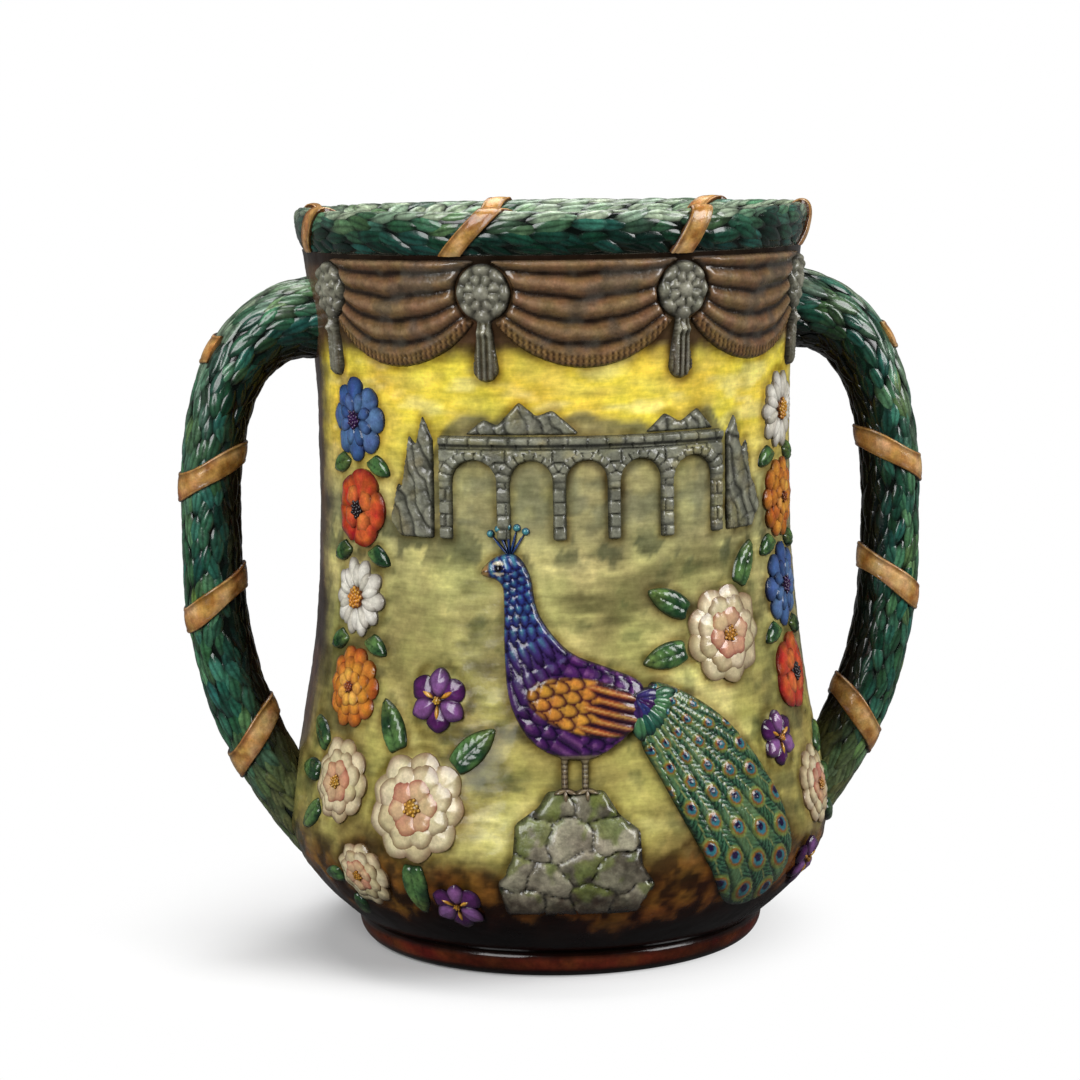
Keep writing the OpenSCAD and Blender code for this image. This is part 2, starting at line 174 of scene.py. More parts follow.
RIM_SINK = 3
RIM_OVERHANG = 2.2
RIM_LEAN = 2.2
RIM_SQUARE = 2.2
RIM_HALF_H = (RIM_TOP - NECK_Z + RIM_SINK) / 2
RIM_HALF_W = (WALL_T + RIM_OVERHANG) / 2
RIM_MID_Z = RIM_TOP - RIM_HALF_H
RIM_MID_R = NECK_R + RIM_OVERHANG - RIM_HALF_W


def rim_section(a, grow=0):
    r = RIM_MID_R + (RIM_HALF_W + grow) * squared(np.cos(a), RIM_SQUARE) + RIM_LEAN * np.sin(a)
    return pair(r, RIM_MID_Z + (RIM_HALF_H + grow) * squared(np.sin(a), RIM_SQUARE))


rim_seat = -asin(((RIM_HALF_H - RIM_SINK) / RIM_HALF_H) ** (RIM_SQUARE / 2))
rim_turns = np.linspace(rim_seat, pi - rim_seat, 400)
rim_line = rim_section(rim_turns)
rim_run = run_along(rim_line)
rim_slope = np.gradient(rim_line, rim_run, axis=0)
rim_slope = np.stack([smoothed(part, np.ones(25) / 25) for part in rim_slope.T], -1)
rim_slope /= np.linalg.norm(rim_slope, axis=1)[:, None]


def rim_run_at(turn):
    return float(np.interp(turn, rim_turns, rim_run))


def rim_at(angle, run):
    """Patch of the rim roll: along it, up over it and out of it."""
    def place(u, v, h):
        s = run + v
        r, z = (np.interp(s, rim_run, line) for line in rim_line.T)
        slope_r, slope_z = (np.interp(s, rim_run, line) for line in rim_slope.T)
        return round_point(r + h * slope_z, radians(angle) + u / RIM_MID_R, z - h * slope_r)
    return place


# The handles: a rounded shoulder from the neck, then a sweep in to the belly

HANDLE_D = 21.4
HANDLE_TOP_D = 30
HANDLE_LOW_D = 22
HANDLE_TOP_Z = NECK_Z - 22.8
HANDLE_REACH_Z = 146.5
HANDLE_LOW_Z = 30.5
HANDLE_REACH = WAIST_R + 27.2 + HANDLE_D / 2
HANDLE_TOP_X = float(wall_r(HANDLE_TOP_Z)) - WALL_T
HANDLE_LOW_X = float(wall_r(HANDLE_LOW_Z)) - 0.66 * HANDLE_D
HANDLE_SQUARE = 2.62
HANDLE_SWEEP = 2.54

# Depth in the wall beyond which no point of a handle goes
HANDLE_BITE = 2.5

# From 0 to 1 the path runs along the shoulder, and from 1 to 2 along the sweep
path_t = np.linspace(0, 2, 801)
upper = np.clip(path_t, 0, 1)
lower = np.clip(path_t - 1, 0, 1)
rise = squared(np.cos(upper * pi / 2).clip(0), HANDLE_SQUARE)
reach = squared(np.sin(upper * pi / 2), HANDLE_SQUARE)
path_x = np.where(path_t < 1, blend(HANDLE_TOP_X, HANDLE_REACH, reach),
                  blend(HANDLE_REACH, HANDLE_LOW_X, lower ** HANDLE_SWEEP))
path_z = np.where(path_t < 1, blend(HANDLE_REACH_Z, HANDLE_TOP_Z, rise),
                  blend(HANDLE_REACH_Z, HANDLE_LOW_Z, lower))
path_d = HANDLE_D + (HANDLE_TOP_D - HANDLE_D) * (1 - upper) ** 2
path_d = path_d + (HANDLE_LOW_D - HANDLE_D) * 4 * lower * (1 - lower)
path_run = run_along(pair(path_x, path_z))
handle_run = np.linspace(0, path_run[-1], 800)
handle_t, handle_x, handle_z, handle_rad = (
    np.interp(handle_run, path_run, line) for line in (path_t, path_x, path_z, path_d / 2))
window = np.hanning(61) / np.hanning(61).sum()
handle_dx, handle_dz = (smoothed(np.gradient(line, handle_run), window) for line in (handle_x, handle_z))


def handle_at(run, turn, side):
    """Patch of a handle: along it, round it and out of it. Side is 1 on the right and -1 on the left."""
    def place(u, v, h):
        c_x, c_z, d_x, d_z, rad = (np.interp(run + u, handle_run, line) for line in
                                   (handle_x, handle_z, handle_dx, handle_dz, handle_rad))
        a = turn + v / rad
        out = (rad + h) * np.cos(a) / np.hypot(d_x, d_z)
        x = c_x - out * d_z
        y = -(rad + h) * np.sin(a)
        z = c_z + out * d_x
        r = np.hypot(x, y)
        least = wall_r(z) - HANDLE_BITE
        fit = np.where(r < least, least / r, 1)
        return np.stack([side * x * fit, y * fit, z], -1)
    return place


# Glazes: the clay's paint, broken by mottling and brush streaks, under a clear coat

class Nodes:
    """The shader nodes of a material or a world. An input is a value or the socket that feeds it."""

    def __init__(self, owner):
        owner.use_nodes = True
        self.tree = owner.node_tree

    def fill(self, node, inputs):
        for key, value in inputs.items():
            if isinstance(value, bpy.types.NodeSocket):
                self.tree.links.new(value, node.inputs[key])
            else:
                node.inputs[key].default_value = value

    def add(self, kind, output, inputs, **settings):
        node = self.tree.nodes.new("ShaderNode" + kind)
        for key, value in settings.items():
            setattr(node, key, value)
        self.fill(node, inputs)
        return node.outputs[output]

    def times(self, a, b):
        return self.add("Math", "Value", {0: a, 1: b}, operation="MULTIPLY")

    def mapped(self, value, source, target, **settings):
        """A value carried over from one span of numbers to another."""
        span = {"Value": value, "From Min": source[0], "From Max": source[1],
                "To Min": target[0], "To Max": target[1]}
        return self.add("MapRange", "Result", span, **settings)


def glaze(name, rough=0.18, mottle=0.3, mottle_mm=3, streak=0, bump=0.25, coat=0.35, shine=0.35,
          haze=0.06):
    material = bpy.data.materials.new(name)
    nodes = Nodes(material)
    where = nodes.add("TexCoord", "Object", {})

    def clouds(share, detail, at=where):
        inputs = {"Vector": at, "Scale": 1 / MM / (mottle_mm * share), "Detail": detail, "Roughness": 0.6}
        return nodes.add("TexNoise", "Fac", inputs)

    def spread(cloud, low, high):
        return nodes.mapped(cloud, (0.3, 0.7), (low, high))

    def about_one(cloud, change):
        return spread(cloud, 1 - change, 1 + change)

    value = nodes.times(about_one(clouds(1, 4), mottle), about_one(clouds(0.22, 3), mottle * 0.5))
    if streak:
        brush = nodes.add("Mapping", "Vector", {"Vector": where, "Scale": (1, 1, 5)})
        value = nodes.times(value, about_one(clouds(1.6, 3, brush), streak))
    # Where the attribute calm is 1, the mottling is left out
    calm = nodes.add("Attribute", "Fac", {}, attribute_name="calm")
    value = nodes.add("Mix", "Result", {"Factor": calm, "A": value, "B": 1})
    paint = nodes.add("Attribute", "Color", {}, attribute_name="paint")
    hue = spread(clouds(2.1, 2), 0.485, 0.515)
    relief = {"Strength": bump, "Distance": 0.6 * MM, "Height": clouds(0.5, 4)}
    nodes.fill(nodes.tree.nodes["Principled BSDF"], {
        "Base Color": nodes.add("HueSaturation", "Color", {"Hue": hue, "Value": value, "Color": paint}),
        "Roughness": spread(clouds(1.3, 3), rough * 0.6, rough * 1.5),
        "Normal": nodes.add("Bump", "Normal", relief),
        "Coat Weight": coat, "Coat Roughness": haze, "IOR": 1.5, "Specular IOR Level": shine})
    return material


GLAZE_FORMS = {
    "painted_glaze": dict(rough=0.2, mottle=0.26, mottle_mm=9, streak=0.26, bump=0.3, coat=0.12, shine=0.12),
    "dark_brown_glaze": dict(rough=0.17, mottle=0.4, mottle_mm=7, bump=0.2, coat=0.2, shine=0.2),
    "laurel_green_glaze": dict(rough=0.24, mottle=0.45, mottle_mm=3.5, bump=0.4, coat=0.7, shine=0.15,
                               haze=0.13),
    "tan_glaze": dict(rough=0.24, mottle=0.32, bump=0.3),
    "brown_glaze": dict(rough=0.24, mottle=0.35, mottle_mm=4, bump=0.45),
    "grey_glaze": dict(rough=0.26, mottle=0.35, mottle_mm=4, bump=0.5),
    "purple_glaze": dict(rough=0.16),
    "leaf_green_glaze": dict(mottle=0.35, mottle_mm=3.5),
    "cream_glaze": dict(rough=0.2, mottle=0.22, mottle_mm=4),
    "blue_glaze": dict(),
    "red_glaze": dict(),
    "white_glaze": dict(rough=0.2, mottle=0.2),
    "orange_glaze": dict(),
}
GLAZES = {name: glaze(name, **form) for name, form in GLAZE_FORMS.items()}


def put(name, data):
    thing = bpy.data.objects.new(name, data)
    bpy.context.scene.collection.objects.link(thing)
    return thing


# Clay: closed shells, gathered into one piece with a colour at each point

# Height of the undersides of sprigs, which lie within the wall
SINK = -0.9


class Clay:
    """The shells of the piece that stands for one node."""

    def __init__(self, node):
        self.node = node
        self.points = []
        self.paint = []
        self.faces = []
        self.count = 0

    def add(self, points, faces, paint):
        self.points.append(points)
        self.paint.append(np.broadcast_to(paint, points.shape))
        for group in faces:
            self.faces.extend((group + self.count).tolist())
        self.count += len(points)

    def piece(self, name, slot, sharp=50):
        mesh = bpy.data.meshes.new(name)
        mesh.from_pydata((np.concatenate(self.points) * MM).tolist(), [], self.faces)
        work = bmesh.new()
        work.from_mesh(mesh)
        bmesh.ops.recalc_face_normals(work, faces=work.faces)
        work.to_mesh(mesh)
        work.free()
        rgba = np.ones((self.count, 4), np.float32)
        rgba[:, :3] = np.clip(np.concatenate(self.paint), 0, 1)
        mesh.color_attributes.new("paint", "FLOAT_COLOR", "POINT").data.foreach_set("color", rgba.ravel())
        mesh.polygons.foreach_set("use_smooth", np.ones(len(mesh.polygons), bool))
        mesh.set_sharp_from_angle(angle=radians(sharp))
        mesh.materials.append(GLAZES[slot])
        piece = put(name, mesh)
        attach(piece, "root")
        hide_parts(self.node)
        return piece


def grid_faces(rows, columns, closed_rows=False):
    """Quads between rows of points, where each row closes on itself."""
    i, j = np.meshgrid(np.arange(rows if closed_rows else rows - 1), np.arange(columns), indexing="ij")
    k = (j + 1) % columns
    m = (i + 1) % rows
    return np.stack([i * columns + j, i * columns + k, m * columns + k, m * columns + j], -1).reshape(-1, 4)


def fan(ring, middle):
    return np.stack([ring, np.roll(ring, -1), np.full(len(ring), middle)], -1)


def capped_faces(rows, columns):
    """Faces of a tube of rows, closed by fans to two points that are listed after the rows."""
    count = rows * columns
    ring = np.arange(columns)
    return [grid_faces(rows, columns), fan(ring, count), fan(count - columns + ring, count + 1)]


def revolved(profile, turns):
    """Radius, turn and height of each point of a profile that is run round the axis."""
    angles = tau * np.arange(turns) / turns
    return np.repeat(profile[:, 0], turns), np.tile(angles, len(profile)), np.repeat(profile[:, 1], turns)


def dome(sides, rings):
    """Shell of nested rings with a middle point, a rim that goes down to a floor, and the floor's middle."""
    rho = np.concatenate([[0], np.repeat(np.arange(1, rings + 1) / rings, sides), np.ones(sides), [0]])
    spoke = np.concatenate([[0], np.tile(np.arange(sides), rings + 1), [0]])
    low = np.zeros(len(rho), bool)
    low[1 + rings * sides:] = True
    faces = [fan(1 + np.arange(sides), 0), 1 + grid_faces(rings + 1, sides),
             fan(1 + rings * sides + np.arange(sides), len(rho) - 1)]
    return rho, spoke, low, faces


def leaf_edge(sides, length, width, skew, blunt):
    """Outline of a leaf or petal that starts at zero and points along the first axis."""
    t = tau * np.arange(sides) / sides
    share = 0.5 - 0.5 * np.cos(t)
    half = width / 2 * np.sin(pi * share ** skew).clip(0) ** blunt
    return pair(share * length, half * np.sign(np.sin(t)))


def lay_leaf(clay, place, turn, start, length, width, height, tint, edge_tint, skew=1, blunt=0.8, tilt=0,
             base=0, rib=0, vein=0, ruffle=0, bend=0, sides=16, rings=4, floor=SINK):
    """One closed leaf or petal on a patch, with its crown and its midrib, darker at its edge and its base:
    dark glaze pooled there and painted shade where it meets the leaves round it.
    """
    rho, spoke, low, faces = dome(sides, rings)
    middle = np.array([length * 0.52, 0])
    local = middle + rho[:, None] * (leaf_edge(sides, length, width, skew, blunt)[spoke] - middle)
    x, y = local.T
    share = x / length
    spine = np.exp(-(y / (0.09 * width)) ** 2)
    crown = height * (1 - rho ** 2.8) + rib * spine * (1 - rho)
    crown = crown + ruffle * np.cos(5 * np.arctan2(y, x - middle[0])) * rho ** 2
    h = np.where(low, floor, base + crown + tilt * share)
    # Painted shade, with dark glaze pooled in it, at the leaf's edge and base, and a dark line along the
    # midrib
    shade = ease(0.55, 1, rho) * 0.85 + 0.25 * ease(0.35, 0, share) + vein * spine
    paint = mix(tint, edge_tint, np.clip(np.where(low, 1, shade), 0, 1))
    x = x + start
    y = y + bend * length * share * (1 - share)
    c, s = cos(turn), sin(turn)
    clay.add(place(c * x - s * y, s * x + c * y, h), faces, paint)


def lay_bead(clay, place, u, v, radius, height, tint, edge_tint, base=0, sides=10, rings=3, floor=SINK):
    """A round bead or boss."""
    rho, spoke, low, faces = dome(sides, rings)
    t = tau * spoke / sides
    h = np.where(low, floor, base + height * np.sqrt(np.clip(1 - rho ** 2, 0, 1)))
    # The bead darkens toward its edge: painted shade where it meets the surface
    paint = mix(tint, edge_tint, np.where(low, 1, rho ** 3))
    clay.add(place(u + radius * rho * np.cos(t), v + radius * rho * np.sin(t), h), faces, paint)


# Pads: the outline of a sprig is read from its solid, filled with points and modelled

# Points of a solid that lie closer than this are taken as one
WELD = 0.02


def read_node(name):
    """Points and triangles of a solid, with points that lie together made one."""
    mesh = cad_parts[name].data
    points = np.empty(len(mesh.vertices) * 3)
    mesh.vertices.foreach_get("co", points)
    points = points.reshape(-1, 3) / MM
    mesh.calc_loop_triangles()
    tris = np.empty(len(mesh.loop_triangles) * 3, np.int64)
    mesh.loop_triangles.foreach_get("vertices", tris)
    near = np.round(points / WELD).astype(np.int64)
    first, back = np.unique(near, axis=0, return_index=True, return_inverse=True)[1:]
    return points[first], back.reshape(-1)[tris].reshape(-1, 3)


def border_edges(tris):
    """Edges that only one triangle has, in that triangle's direction."""
    edges = np.concatenate([tris[:, [0, 1]], tris[:, [1, 2]], tris[:, [2, 0]]])
    seen = {(int(p), int(q)) for p, q in edges}
    return [(p, q) for p, q in seen if (q, p) not in seen]


def front_loops(name):
    """Border of the outer face of each solid in a node, as angles in degrees and heights."""
    points, tris = read_node(name)
    lift = np.hypot(points[:, 0], points[:, 1]) - wall_r(points[:, 2])
    outer = lift > 0.55 * np.percentile(lift, 95)
    tris = tris[outer[tris].all(1)]
    a, b, c = (points[tris[:, k]] for k in range(3))
    normal = np.cross(b - a, c - a)
    middle = (a + b + c) / 3
    out = (normal[:, :2] * middle[:, :2]).sum(1) / np.hypot(middle[:, 0], middle[:, 1])
    tris = tris[abs(out) > 0.3 * np.linalg.norm(normal, axis=1)]
    follow = dict(border_edges(tris))
    loops = []
    while follow:
        start, at = follow.popitem()
        loop = [start]
        while at != start and at in follow:
            loop.append(at)
            at = follow.pop(at)
        ring = points[loop]
        if len(ring) > 5:
            loops.append(pair(np.degrees(np.arctan2(ring[:, 0], -ring[:, 1])), ring[:, 2]))
    loops.sort(key=lambda ring: (round(ring[:, 1].mean()), round(ring[0, 0])))
    return loops


def centred(loop, angle=None, height=None):
    """Patch angle and height of a loop, and the loop in millimetres on that patch."""
    wide = np.unwrap(np.radians(loop[:, 0]))
    if angle is None:
        angle = degrees((wide.min() + wide.max()) / 2)
    if height is None:
        height = (loop[:, 1].min() + loop[:, 1].max()) / 2
    wide = (wide - radians(angle) + pi) % tau - pi
    return angle, height, pair(wide * wall_r(loop[:, 1]), loop[:, 1] - height)


def evened(loop, step):
    ring = np.vstack([loop, loop[:1]])
    run = run_along(ring)
    count = max(12, int(run[-1] / step))
    at = np.arange(count) * run[-1] / count
    even = pair(np.interp(at, run, ring[:, 0]), np.interp(at, run, ring[:, 1]))
    for _ in range(2):
        even = 0.5 * even + 0.25 * (np.roll(even, 1, 0) + np.roll(even, -1, 0))
    return even


def to_segment(points, p, q):
    """Share along a segment of the place nearest to each point, and the gap from there to the point."""
    d = q - p
    share = np.clip(((points - p) @ d) / max(d @ d, 1e-9), 0, 1)
    return share, points - p - share[:, None] * d


def border_distance(points, loop):
    best = np.full(len(points), 1e9)
    for p, q in zip(loop, np.roll(loop, -1, 0)):
        best = np.minimum(best, np.hypot(*to_segment(points, p, q)[1].T))
    return best


def along_line(u, v, line):
    """Run along a bent line and offset from it, for each point."""
    line = np.array(line, float)
    best = np.full(len(u), 1e9)
    run, off = np.zeros(len(u)), np.zeros(len(u))
    start = 0
    for p, q in zip(line[:-1], line[1:]):
        d = q - p
        size = hypot(*d)
        share, gap = to_segment(pair(u, v), p, q)
        dist = np.hypot(*gap.T)
        near = dist < best
        best = np.where(near, dist, best)
        run = np.where(near, start + share * size, run)
        off = np.where(near, (d[0] * gap[:, 1] - d[1] * gap[:, 0]) / size, off)
        start += size
    return run, off


def inside(points, loop):
    odd = np.zeros(len(points), bool)
    for p, q in zip(loop, np.roll(loop, -1, 0)):
        crosses = (p[1] > points[:, 1]) != (q[1] > points[:, 1])
        if p[1] != q[1]:
            odd ^= crosses & (points[:, 0] < p[0] + (points[:, 1] - p[1]) * (q[0] - p[0]) / (q[1] - p[1]))
    return odd


def filled(loop, step):
    """Even points inside a loop, joined into triangles, with each point's distance from the loop."""
    low, high = loop.min(0), loop.max(0)
    v = np.arange(low[1], high[1], step * 0.866)
    u = np.arange(low[0], high[0] + step, step)
    cloud = np.stack(np.meshgrid(u, v), -1)
    cloud[1::2, :, 0] += step / 2
    cloud = cloud.reshape(-1, 2)
    cloud = cloud[inside(cloud, loop)]
    cloud = cloud[border_distance(cloud, loop) > 0.55 * step]
    count = len(loop)
    edges = [(i, (i + 1) % count) for i in range(count)]
    cloud = [Vector(p) for p in np.vstack([loop, cloud])]
    made = delaunay_2d_cdt(cloud, edges, [list(range(count))], 1, 1e-5)
    points = np.array([tuple(p) for p in made[0]])
    tris = np.array([f for f in made[2] if len(f) == 3])
    return points, tris, border_distance(points, loop)


def lay_pad(clay, place, loop, step, sculpt):
    """A closed pad over an outline. Sculpt gives each point's height and colour."""
    points, tris, depth = filled(evened(loop, step), step)
    u, v = points.T
    height, paint = sculpt(u, v, depth)
    count = len(points)
    rim = np.array(border_edges(tris))
    sides = np.stack([rim[:, 0], rim[:, 0] + count, rim[:, 1] + count, rim[:, 1]], -1)
    shell = np.vstack([place(u, v, height), place(u, v, np.full(count, SINK))])
    # The points under the pad take 0.4 of its colour, so its sides darken down to the wall: painted shade
    clay.add(shell, [tris, tris[:, ::-1] + count, sides], np.vstack([paint, paint * 0.4]))


def pads(node, sculpt, step, angle=None, dress=None):
    """Modelled pads over all the solids of a node. With an angle, heights are counted from the table."""
    clay = Clay(node)
    for loop in front_loops(node):
        if angle is None:
            at, height, local = centred(loop)
        else:
            front = cos(radians(loop[0, 0] - angle)) > 0
            at, height, local = centred(loop, angle if front else angle + 180, 0)
        lay_pad(clay, wall_at(at, height), local, step, sculpt)
    if dress:
        dress(clay)
    return clay


# Body: thrown and painted, from the earth at its base to the sky at its neck

BODY_TURNS = 420
DRUM_R = 90
BASE_TINT = ink(10, 3, 3)
RAW_CLAY = ink(206, 194, 168)

# Heights over which each colour of the ground comes in
GROUND = ((14, 30, ink(40, 17, 10)), (27, 42, ink(96, 70, 32)), (36, 60, ink(164, 153, 86)),
          (80, 120, ink(154, 148, 90)), (112, 150, ink(194, 186, 122)))


def on_drum(angle, z, radius=DRUM_R):
    """Points on a plain drum, at which the noise of the paint is read."""
    return np.stack([np.sin(angle) * radius, np.cos(angle) * radius, z], -1)


def earth_clods(spot):
    return bumps(spot, 6.5, 3, 15)


def paint_wall(angle, z):
    """Colours of the painted ground at angles in radians and heights."""
    spot = on_drum(angle, z)
    broad = bumps(spot, 34, 3, 1)
    small = bumps(spot, 9, 3, 2)
    brush = bumps(spot * np.array([1, 1, 4]), 26, 3, 3)
    clods = earth_clods(spot)
    height = z + 7 * broad + 2.5 * small
    earth = ease(23, 29, height + 4 * clods) * ease(49, 41, height + 7 * clods)
    soil = mix(ink(44, 22, 10), ink(138, 88, 36), ease(-0.3, 0.45, clods + 0.4 * small))
    meadow = ease(36, 60, z) * ease(172, 150, z)
    sky = ease(160, 188, z + 6 * broad)
    face = (angle + pi / 2) % pi - pi / 2
    skyline = bumps(pair(face * DRUM_R, np.zeros(len(face))), 21, 3, 14)
    ridge = 190 + 6 * skyline - 32 * ease(0.5, 0.85, abs(face))
    hills = ease(2.2, -0.8, z - ridge) * ease(140, 158, z + 5 * small)
    slope = layered(ink(118, 118, 92),
                    (ink(158, 152, 106), ease(-0.35, 0.4, small + 0.6 * brush)),
                    (ink(74, 78, 60), ease(4.5, 0.5, abs(z - ridge + 1.5)) * 0.5))
    trees = ease(0.05, 0.3, small + 0.6 * broad) * ease(137, 144, z) * ease(160, 151, z + 5 * small)
    beside = abs(np.sin(angle / 2) ** 2 - 0.5)
    splash = ease(0.13, 0.02, beside + 0.05 * small) * ease(18, 30, z) * ease(84, 52, z + 8 * broad)
    flank = ease(0.18, 0.05, beside + 0.03 * broad + 0.02 * small) * ease(52, 84, z + 6 * broad)
    umber = mix(ink(42, 25, 15), ink(78, 48, 28), ease(-0.5, 0.5, broad + 0.6 * small))
    return layered(
        BASE_TINT,
        *[(tint, ease(low, high, height)) for low, high, tint in GROUND],
        (soil, earth * 0.75),
        (ink(220, 208, 132), meadow * ease(0.1, 0.6, broad + 0.3 * brush) * 0.75),
        (ink(98, 94, 58), meadow * ease(0.12, 0.55, -broad + 0.55 * brush) * 0.75),
        (ink(62, 74, 44), meadow * ease(0.35, 0.6, small + 0.35 * brush) * 0.45),
        (ink(236, 211, 76), sky),
        (ink(240, 224, 136), sky * ease(0.1, 0.5, brush) * 0.7),
        (ink(208, 188, 92), sky * ease(0.1, 0.5, -brush) * 0.5),
        (slope, hills * 0.85),
        (ink(80, 84, 60), trees * 0.7),
        (ink(38, 58, 40), splash * 0.7),
        (umber, flank),
        (ink(84, 64, 44), ease(206, 214, z + 2.5 * small)),
        # A near-black band just under the rim roll: painted shade
        (ink(38, 28, 20), ease(236, 240, z)))


def sprig_gap(points):
    """Distance from points on the wall to the nearest outline of a sprig."""
    outlines = []
    for _, _, node, *_ in RELIEF:
        for loop in front_loops(node):
            angle, height, local = centred(loop)
            outlines.append(wall_at(angle, height)(*evened(local, 0.8).T, 0))
    outlines = np.concatenate(outlines)
    tree = kdtree.KDTree(len(outlines))
    for i, point in enumerate(outlines):
        tree.insert(point, i)
    tree.balance()
    return np.array([tree.find(point)[2] for point in points])


def make_body():
    heights = np.concatenate([np.linspace(FOOT_H, BELLY_Z, 34)[:-1], np.linspace(BELLY_Z, NECK_Z, 128)])
    lip = [[NECK_R - 1, NECK_Z], [NECK_R - WALL_T + 1, NECK_Z]]
    down = np.linspace(NECK_Z, FLOOR_Z + 4, 24)
    within = wall_r(down) - WALL_T
    bend = [[within[-1] - 2, FLOOR_Z + 1.2], [within[-1] - 6, FLOOR_Z + 0.2], [within[-1] * 0.5, FLOOR_Z]]
    under = [[4, FOOT_H], [BASE_R * 0.5, FOOT_H], [BASE_R - 0.6, FOOT_H]]
    outside = pair(wall_r(heights), heights)
    profile = np.vstack([under, outside, lip, pair(within, down), bend, [[4, FLOOR_Z]]])
    r, a, z = revolved(profile, BODY_TURNS)
    row = np.repeat(np.arange(len(profile)), BODY_TURNS)
    skin = (row >= len(under)) & (row < len(under) + len(outside))
    spot = on_drum(a[skin], z[skin])
    swell = 0.28 * bumps(spot, 16, 2, 4) + 0.16 * bumps(spot * np.array([1, 1, 2.2]), 5, 2, 5)
    swell += 0.5 * earth_clods(spot) * ease(20, 28, z[skin]) * ease(50, 42, z[skin])
    r[skin] += (swell - 0.25) * ease(FOOT_H, FOOT_H + 8, z[skin])
    points = round_point(r, a, z)
    # Round each sprig the wall is darkened: dark glaze pooled at its foot and a painted shadow round it
    pooled_glaze_and_shade = ease(3.2, 0.3, sprig_gap(points[skin])) * (0.7 + 0.5 * bumps(spot, 7, 2, 9))
    paint = mix(ink(206, 194, 164), ink(226, 217, 196), ease(20, 200, z))
    paint[skin] = paint_wall(a[skin], z[skin]) * mix(np.ones(3), ink(160, 144, 118), np.clip(pooled_glaze_and_shade, 0, 1))
    paint[row < len(under)] = RAW_CLAY
    clay = Clay("cup_body")
    clay.add(np.vstack([points, [[0, 0, FOOT_H], [0, 0, FLOOR_Z]]]),
             capped_faces(len(profile), BODY_TURNS), np.vstack([paint, [RAW_CLAY, ink(214, 204, 178)]]))
    body = clay.piece("glazed_body", "painted_glaze", sharp=60)
    calm = np.full(clay.count, 0.8, np.float32)
    calm[: len(points)][skin] = 0
    body.data.attributes.new("calm", "FLOAT", "POINT").data.foreach_set("value", calm)


def make_foot():
    turns = 240
    rest, bore, groove, edge = 64.4, 54, 1.6, 1.5
    a = np.linspace(0, pi / 2, 14)
    shoulder = FOOT_H * 0.75
    outer = pair(rest + (FOOT_R - rest) * np.sin(a), shoulder * (1 - np.cos(a)))
    neck = [[FOOT_R - 0.3, shoulder + 0.8], [FOOT_R - 1.1, shoulder + 1.6], [FOOT_R - groove, FOOT_H]]
    inner = [[bore, FOOT_H], [bore, FOOT_H * 0.5], [bore, edge], [bore + 0.5, 0.4], [bore + edge, 0]]
    profile = np.vstack([outer, neck, inner])
    r, t, z = revolved(profile, turns)
    rust = ease(2, 4.4, z) * ease(8.6, 6, z) * (0.75 + 0.5 * bumps(on_drum(t, z, 70), 24, 2, 6))
    paint = mix(ink(14, 5, 4), ink(92, 38, 20), np.clip(rust, 0, 1))
    clay = Clay("foot_ring")
    clay.add(round_point(r, t, z), [grid_faces(len(profile), turns, True)], paint)
    clay.piece("glazed_foot", "dark_brown_glaze", sharp=70)


# Laurel: a dark core covered with overlapping leaves

BLACK_GREEN = ink(6, 14, 9)
TEAL = ink(46, 108, 98)
DEEP_GREEN = ink(18, 66, 46)
LIGHT_GREEN = ink(88, 134, 82)
YELLOW_GREEN = ink(118, 140, 54)
PALE_GREEN = ink(176, 190, 162)
OLIVE = ink(112, 112, 66)
DARK_OLIVE = ink(46, 52, 30)

RIM_LEAF = dict(length=17, width=6, blunt=0.85, sway=0.3, height=(0.55, 0.85), tilt=0.35, base=(-1.2, -0.9))
RIM_ROW_GAP = 4.2
RIM_LEAF_GAP = 8.6
HANDLE_LEAF = dict(length=13.5, width=5.6, blunt=0.75, sway=0.38, height=(0.6, 0.9), tilt=0.2,
                   base=(-1.15, -0.85))
HANDLE_ROW_GAP = 5.2
HANDLE_LEAF_GAP = 5


def leaf_tint(place, light):
    """Colour of one leaf, from a patchwork of dark teal, green and yellow green. Its light, from 0 to 1, adds
    yellow green and light green where the leaf would catch the light: painted light.
    """
    patch = noise.noise(Vector(middle_of(place) / 13))
    tint = layered(DEEP_GREEN, (TEAL, RNG.uniform(0, 1)),
                   (YELLOW_GREEN, RNG.uniform(0.2, 0.8) * light * ease(0.1, 0.5, patch)),
                   (LIGHT_GREEN, RNG.uniform(0, 0.5) * light))
    return tint * RNG.uniform(0.55, 1.5) * (1 - 0.55 * ease(0.05, 0.5, -patch))


def lay_laurel(clay, place, leaf, turn, grow, tint, edge_tint):
    turn = turn + RNG.uniform(-leaf["sway"], leaf["sway"])
    lay_leaf(clay, place, turn, -leaf["length"] / 2, leaf["length"] * grow, leaf["width"] * grow,
             RNG.uniform(*leaf["height"]), tint, edge_tint, skew=0.9, blunt=leaf["blunt"],
             tilt=RNG.uniform(0, leaf["tilt"]), base=RNG.uniform(*leaf["base"]), rib=-0.2, vein=0.6,
             bend=RNG.uniform(-0.15, 0.15), floor=-1.9)


